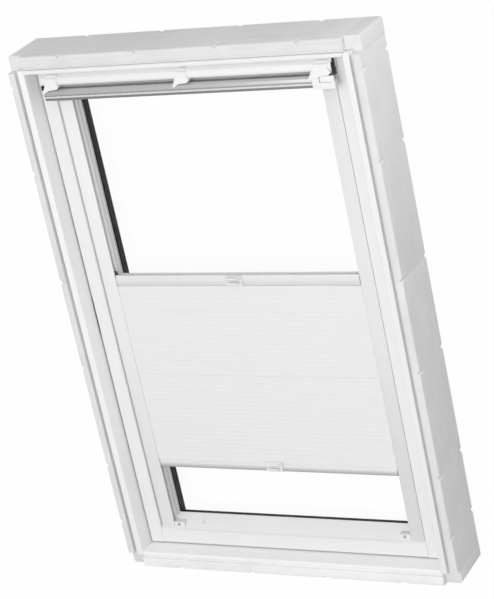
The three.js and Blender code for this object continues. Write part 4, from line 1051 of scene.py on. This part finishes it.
class ROOFWINDOW_OT_control_bar(PieceOperator, bpy.types.Operator):
    """Makes the control bar, its ventilation flap and its arms"""
    bl_idname = "roofwindow.control_bar"
    bl_label = "Control bar"

    def make(self, scene):
        c = scene.roofwindow_control
        for node, material, slot in (
            ("control_bar", metal_finish("silver_anodised_metal", c.metal, 0.75, 0.36), "grey_metal"),
            ("vent_flap", powder_finish("flap_paint", c.flap), "flap_paint"),
        ):
            soften_all((node,), c.bar_edge, material, CURVED_CREASE)
        plastic = plastic_finish("arm_plastic", c.plastic, corner=c.round_edge)
        dress(ARMS, plastic)
        self.edges(c)
        self.flap_ends(c)
        self.hook_web(plastic)

    def edges(self, c):
        """A lighter strip as painted highlight and a dark strip as painted shade along the bar."""
        low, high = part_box("control_bar")
        across = (c.bar_end, high.x - low.x - c.bar_end)
        for name, (depths, heights, edge), material, slot in (
            ("control_bar_painted_highlight", RIM, metal_finish("painted_highlight_metal", c.rim, 0.25, 0.28), "grey_metal"),
            ("control_bar_painted_shade", LIP, plastic_finish("painted_shade_lip", c.lip, 0.5), "dark_plastic"),
        ):
            strip(name, *spanned(low, across, depths, heights), edge, material, slot, "control_bar_set")

    def flap_ends(self, c):
        """Near-black plates on the flap's ends, as painted shade for the deep gap beside them."""
        black = plastic_finish("flap_end_painted_shade", c.shade, 0.6)
        low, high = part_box("vent_flap")
        for side, sign in SIDES:
            edge = side_x("vent_flap", sign)
            near, far = sorted(edge + sign * out for out in PLATE_SIDES)
            plate = strip("flap_end_" + side, (near, low.y + PLATE_FRONT, low.z + PLATE_FOOT),
                          (far, high.y + PLATE_BACK, high.z + PLATE_TOP),
                          PLATE_EDGE, black, "dark_plastic", "control_bar_set")
            depth, height = PLATE_CORNER
            cut_away(plate, (near - CUT_PAST, low.y, high.z - height),
                     (far + CUT_PAST, low.y + depth, high.z))

    def hook_web(self, plastic):
        """Closes the right arm between its foot and the hook's cap."""
        low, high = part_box("arm_right")
        corners = spanned(Vector((high.x, low.y, low.z)), *WEB)
        strip("arm_right_web", *corners, WEB_EDGE, plastic, "white_plastic", "control_bar_set")


class ROOFWINDOW_OT_rails(PieceOperator, bpy.types.Operator):
    """Finishes the blind's guide rails with their caps and feet"""
    bl_idname = "roofwindow.rails"
    bl_label = "Guide rails"

    def make(self, scene):
        c = scene.roofwindow_blind
        # Painted shade darkens each rail towards its foot, and painted light gives each side its own tone
        for node, sign, tone, shade_top, depth in (
            ("guide_rail_left", -1.0, c.rail_left, c.shade_top_left, c.left_rail_groove),
            ("guide_rail_right", 1.0, c.rail_right, c.shade_top_right, c.rail_groove_depth),
        ):
            coating = painted_shade_finish(node + "_coating", tone, c.shade_foot, shade_top, c.rail_shade_share)
            grooved(node, sign, c.rail_edge, c.rail_groove, depth, coating)
        plastic = plastic_finish("rail_end_plastic", c.rail_end, 0.45)
        soften_all(RAIL_ENDS, c.bar_edge, plastic)


# Painted shade on the bars: where a bar's coating darkens, from and to, in shares of its height, and the
# share of its tone below
BAR_PAINTED_SHADE = (("upper_bar", 0.25, 0.55, 0.90), ("lower_bar", -0.1, 0.75, 0.38))


class ROOFWINDOW_OT_bars(PieceOperator, bpy.types.Operator):
    """Makes the blind's two bars with their handles and gliders"""
    bl_idname = "roofwindow.bars"
    bl_label = "Blind bars"

    def make(self, scene):
        c = scene.roofwindow_blind
        for bar, from_share, to_share, fall in BAR_PAINTED_SHADE:
            low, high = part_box(bar)
            shade_low, shade_high = (low.z + (high.z - low.z) * part for part in (from_share, to_share))
            coating = painted_shade_finish(bar + "_coating", c.bar, shade_low, shade_high, fall)
            soften_all((bar,), c.bar_edge, coating, CURVED_CREASE)
        dress(("upper_handle", "lower_handle"), plastic_finish("handle_plastic", c.handle, 0.34, 0.0008))
        soften_all(GLIDERS, c.rail_edge, plastic_finish("glider_plastic", c.glider, 0.5))


class ROOFWINDOW_OT_cloth(PieceOperator, bpy.types.Operator):
    """Makes the honeycomb cloth between the blind's bars"""
    bl_idname = "roofwindow.cloth"
    bl_label = "Pleated cloth"

    def make(self, scene):
        c = scene.roofwindow_blind
        material = cloth_finish(c)
        for half, bar, body, upwards in (
            ("upper", "upper_bar", "upper_blind_bar", True),
            ("lower", "lower_bar", "lower_blind_bar", False),
        ):
            node = "pleats_" + half
            low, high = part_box(node)
            pitch = (high.z - low.z) / c.cells
            for part, first, after, start, end in cloth_parts(c.cells):
                bottom = low.z + pitch * first if upwards else high.z - pitch * after
                name = f"cloth_{half}_{part}"
                cloth, flat = pleated_cloth(name, node, bottom, after - first, pitch, c, material)
                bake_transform(cloth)


class ROOFWINDOW_OT_screws(PieceOperator, bpy.types.Operator):
    """Sets the screws in the rail feet, the hinge plates and the outer covers"""
    bl_idname = "roofwindow.screws"
    bl_label = "Screws"

    def make(self, scene):
        c = scene.roofwindow_fixing
        places = self.in_feet(c) + self.in_hinges(c) + self.in_covers(c)
        steel = steel_finish(scene.roofwindow_outer)
        set_screws(screw_head(c.head_radius, c.head_height), places, steel)

    def in_feet(self, c):
        places = []
        for side, _ in SIDES:
            low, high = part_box("rail_foot_" + side)
            place = ((low.x + high.x) / 2, low.y, low.z + (high.z - low.z) * c.foot_screw)
            places.append((f"rail_screw_{side}", "sash", place, (0.0, -1.0, 0.0)))
        return places

    def in_hinges(self, c):
        """The frame's screws stand further from the pin than the sash's, which pass between them."""
        places = []
        for side, sign in SIDES:
            plate = "pivot_plate_frame_" + side
            low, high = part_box(plate)
            middle = (low + high) / 2
            for body, face, out, reach in (
                ("frame", side_x(plate, -sign), -sign, c.frame_hinge_reach),
                ("sash", side_x("sash_" + side, sign), sign, c.sash_hinge_reach),
            ):
                for end, height in (("upper", reach), ("lower", -reach)):
                    places.append((f"hinge_screw_{body}_{side}_{end}", body,
                                   (face, middle.y, middle.z + height), (out, 0.0, 0.0)))
        return places

    def in_covers(self, c):
        places = []
        for side, sign in SIDES:
            for body in ("frame", "sash"):
                cover = f"{body}_cover_{side}"
                low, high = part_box(cover)
                x = (low.x + high.x) / 2
                if body == "sash":
                    x = side_x(cover, sign) - sign * c.cover_screw_inset
                for number in range(c.cover_screws):
                    height = low.z + (high.z - low.z) * (number + 0.5) / c.cover_screws
                    places.append((f"{body}_cover_screw_{side}_{number + 1}", body,
                                   (x, high.y, height), (0.0, 1.0, 0.0)))
        return places


# Size, place and aim of each lamp
KEY_LAMP = (3.0, (0.70, -4.8, 2.0), (0.0, 0.0, 0.6))
SIDE_LAMP = (0.5, (1.05, 0.0, 1.45), (0.41, 0.0, 1.1))

# The camera's place, its directions to the right and ahead, its focal length in millimetres and its reach
CAMERA_PLACE = (2.23682, -3.79072, 2.41429)
CAMERA_ACROSS = (0.88235, 0.42687, -0.19810)
CAMERA_AHEAD = (-0.47059, 0.79982, -0.37260)
FOCAL_LENGTH = 133.06
CLIP_START = 0.05
CLIP_END = 200.0

FLOOR_SIZE = 60.0
FLOOR_CLOUD = (0.66, 0.66, 0.66)
WHITE = rgba((1.0, 1.0, 1.0))


def seen_directly(s):
    """1 for camera, glossy and transmission rays, and 0 for the light that falls on the object."""
    light = s.node("ShaderNodeLightPath").outputs
    mirrored = s.math("MAXIMUM", light["Is Camera Ray"], light["Is Glossy Ray"])
    return s.math("MAXIMUM", mirrored, light["Is Transmission Ray"])


class ROOFWINDOW_OT_stage(PieceOperator, bpy.types.Operator):
    """Sets up the floor, the soft light and the camera"""
    bl_idname = "roofwindow.stage"
    bl_label = "Stage"

    def make(self, scene):
        c = scene.roofwindow_stage
        self.floor(c)
        self.sky(scene, c)
        self.lamp(scene, "soft_key", c.key, *KEY_LAMP)
        self.lamp(scene, "soft_side", c.side, *SIDE_LAMP)
        self.camera(scene)
        scene.view_settings.view_transform = "Standard"

    def floor(self, c):
        bpy.ops.mesh.primitive_plane_add(size=FLOOR_SIZE)
        floor = bpy.context.object
        floor.name = "floor"
        f = Finish("pale_floor", Specular_IOR_Level=0.0, Roughness=1.0)
        s = f.s
        cloud = s.times(s.noise(f.place, 0.8, 3.0), 0.1)
        s.feed(f.shader.inputs["Base Color"], s.blend(cloud, rgba(c.floor), rgba(FLOOR_CLOUD)))
        glow = s.node("ShaderNodeEmission", Color=WHITE, Strength=1.0)
        floor.data.materials.append(f.mixed_with(glow, s.times(seen_directly(s), c.clearing)))

    def sky(self, scene, c):
        scene.world = bpy.data.worlds.new("even_sky")
        scene.world.use_nodes = True
        s = Shading(scene.world.node_tree)
        background = next(node for node in s.tree.nodes if node.type == "BACKGROUND")
        level = s.between(seen_directly(s), 0.0, 1.0, c.sky, 1.0)
        s.feed_all(background, {"Color": WHITE, "Strength": level})

    def lamp(self, scene, name, energy, size, place, aim):
        data = bpy.data.lights.new(name, "AREA")
        data.energy = energy
        data.shape = "DISK"
        data.size = size
        lamp = bpy.data.objects.new(name, data)
        scene.collection.objects.link(lamp)
        lamp.location = place
        lamp.rotation_euler = (Vector(aim) - Vector(place)).to_track_quat("-Z", "Y").to_euler()

    def camera(self, scene):
        data = bpy.data.cameras.new("photo_camera")
        data.lens = FOCAL_LENGTH
        data.clip_start = CLIP_START
        data.clip_end = CLIP_END
        camera = bpy.data.objects.new("photo_camera", data)
        scene.collection.objects.link(camera)
        ahead = Vector(CAMERA_AHEAD).normalized()
        upward = Vector(CAMERA_ACROSS).cross(ahead).normalized()
        turn = Matrix((ahead.cross(upward), upward, -ahead)).transposed().to_4x4()
        camera.matrix_world = Matrix.Translation(CAMERA_PLACE) @ turn
        scene.camera = camera


OPERATORS = (
    ROOFWINDOW_OT_collar,
    ROOFWINDOW_OT_timber,
    ROOFWINDOW_OT_outside,
    ROOFWINDOW_OT_control_bar,
    ROOFWINDOW_OT_rails,
    ROOFWINDOW_OT_bars,
    ROOFWINDOW_OT_cloth,
    ROOFWINDOW_OT_screws,
    ROOFWINDOW_OT_stage,
)


class ROOFWINDOW_PT_panel(bpy.types.Panel):
    """Lists the pieces of the roof window and their sizes and colours"""
    bl_idname = "ROOFWINDOW_PT_panel"
    bl_label = "Roof window"
    bl_space_type = "VIEW_3D"
    bl_region_type = "UI"
    bl_category = "Roof window"

    def draw(self, context):
        for operator in OPERATORS:
            self.layout.operator(operator.bl_idname)
        for key, group in SETTINGS.items():
            box = self.layout.box()
            box.label(text=key.capitalize())
            for name in group.__annotations__:
                box.prop(getattr(context.scene, "roofwindow_" + key), name)


CLASSES = (*SETTINGS.values(), *OPERATORS, ROOFWINDOW_PT_panel)


def register():
    for made in CLASSES:
        bpy.utils.register_class(made)
    for key, group in SETTINGS.items():
        setattr(bpy.types.Scene, "roofwindow_" + key, bpy.props.PointerProperty(type=group))


def unregister():
    for key in SETTINGS:
        delattr(bpy.types.Scene, "roofwindow_" + key)
    for made in reversed(CLASSES):
        bpy.utils.unregister_class(made)


def main():
    register()
    for operator in OPERATORS:
        group, name = operator.bl_idname.split(".")
        getattr(getattr(bpy.ops, group), name)()


if __name__ == "__main__":
    main()
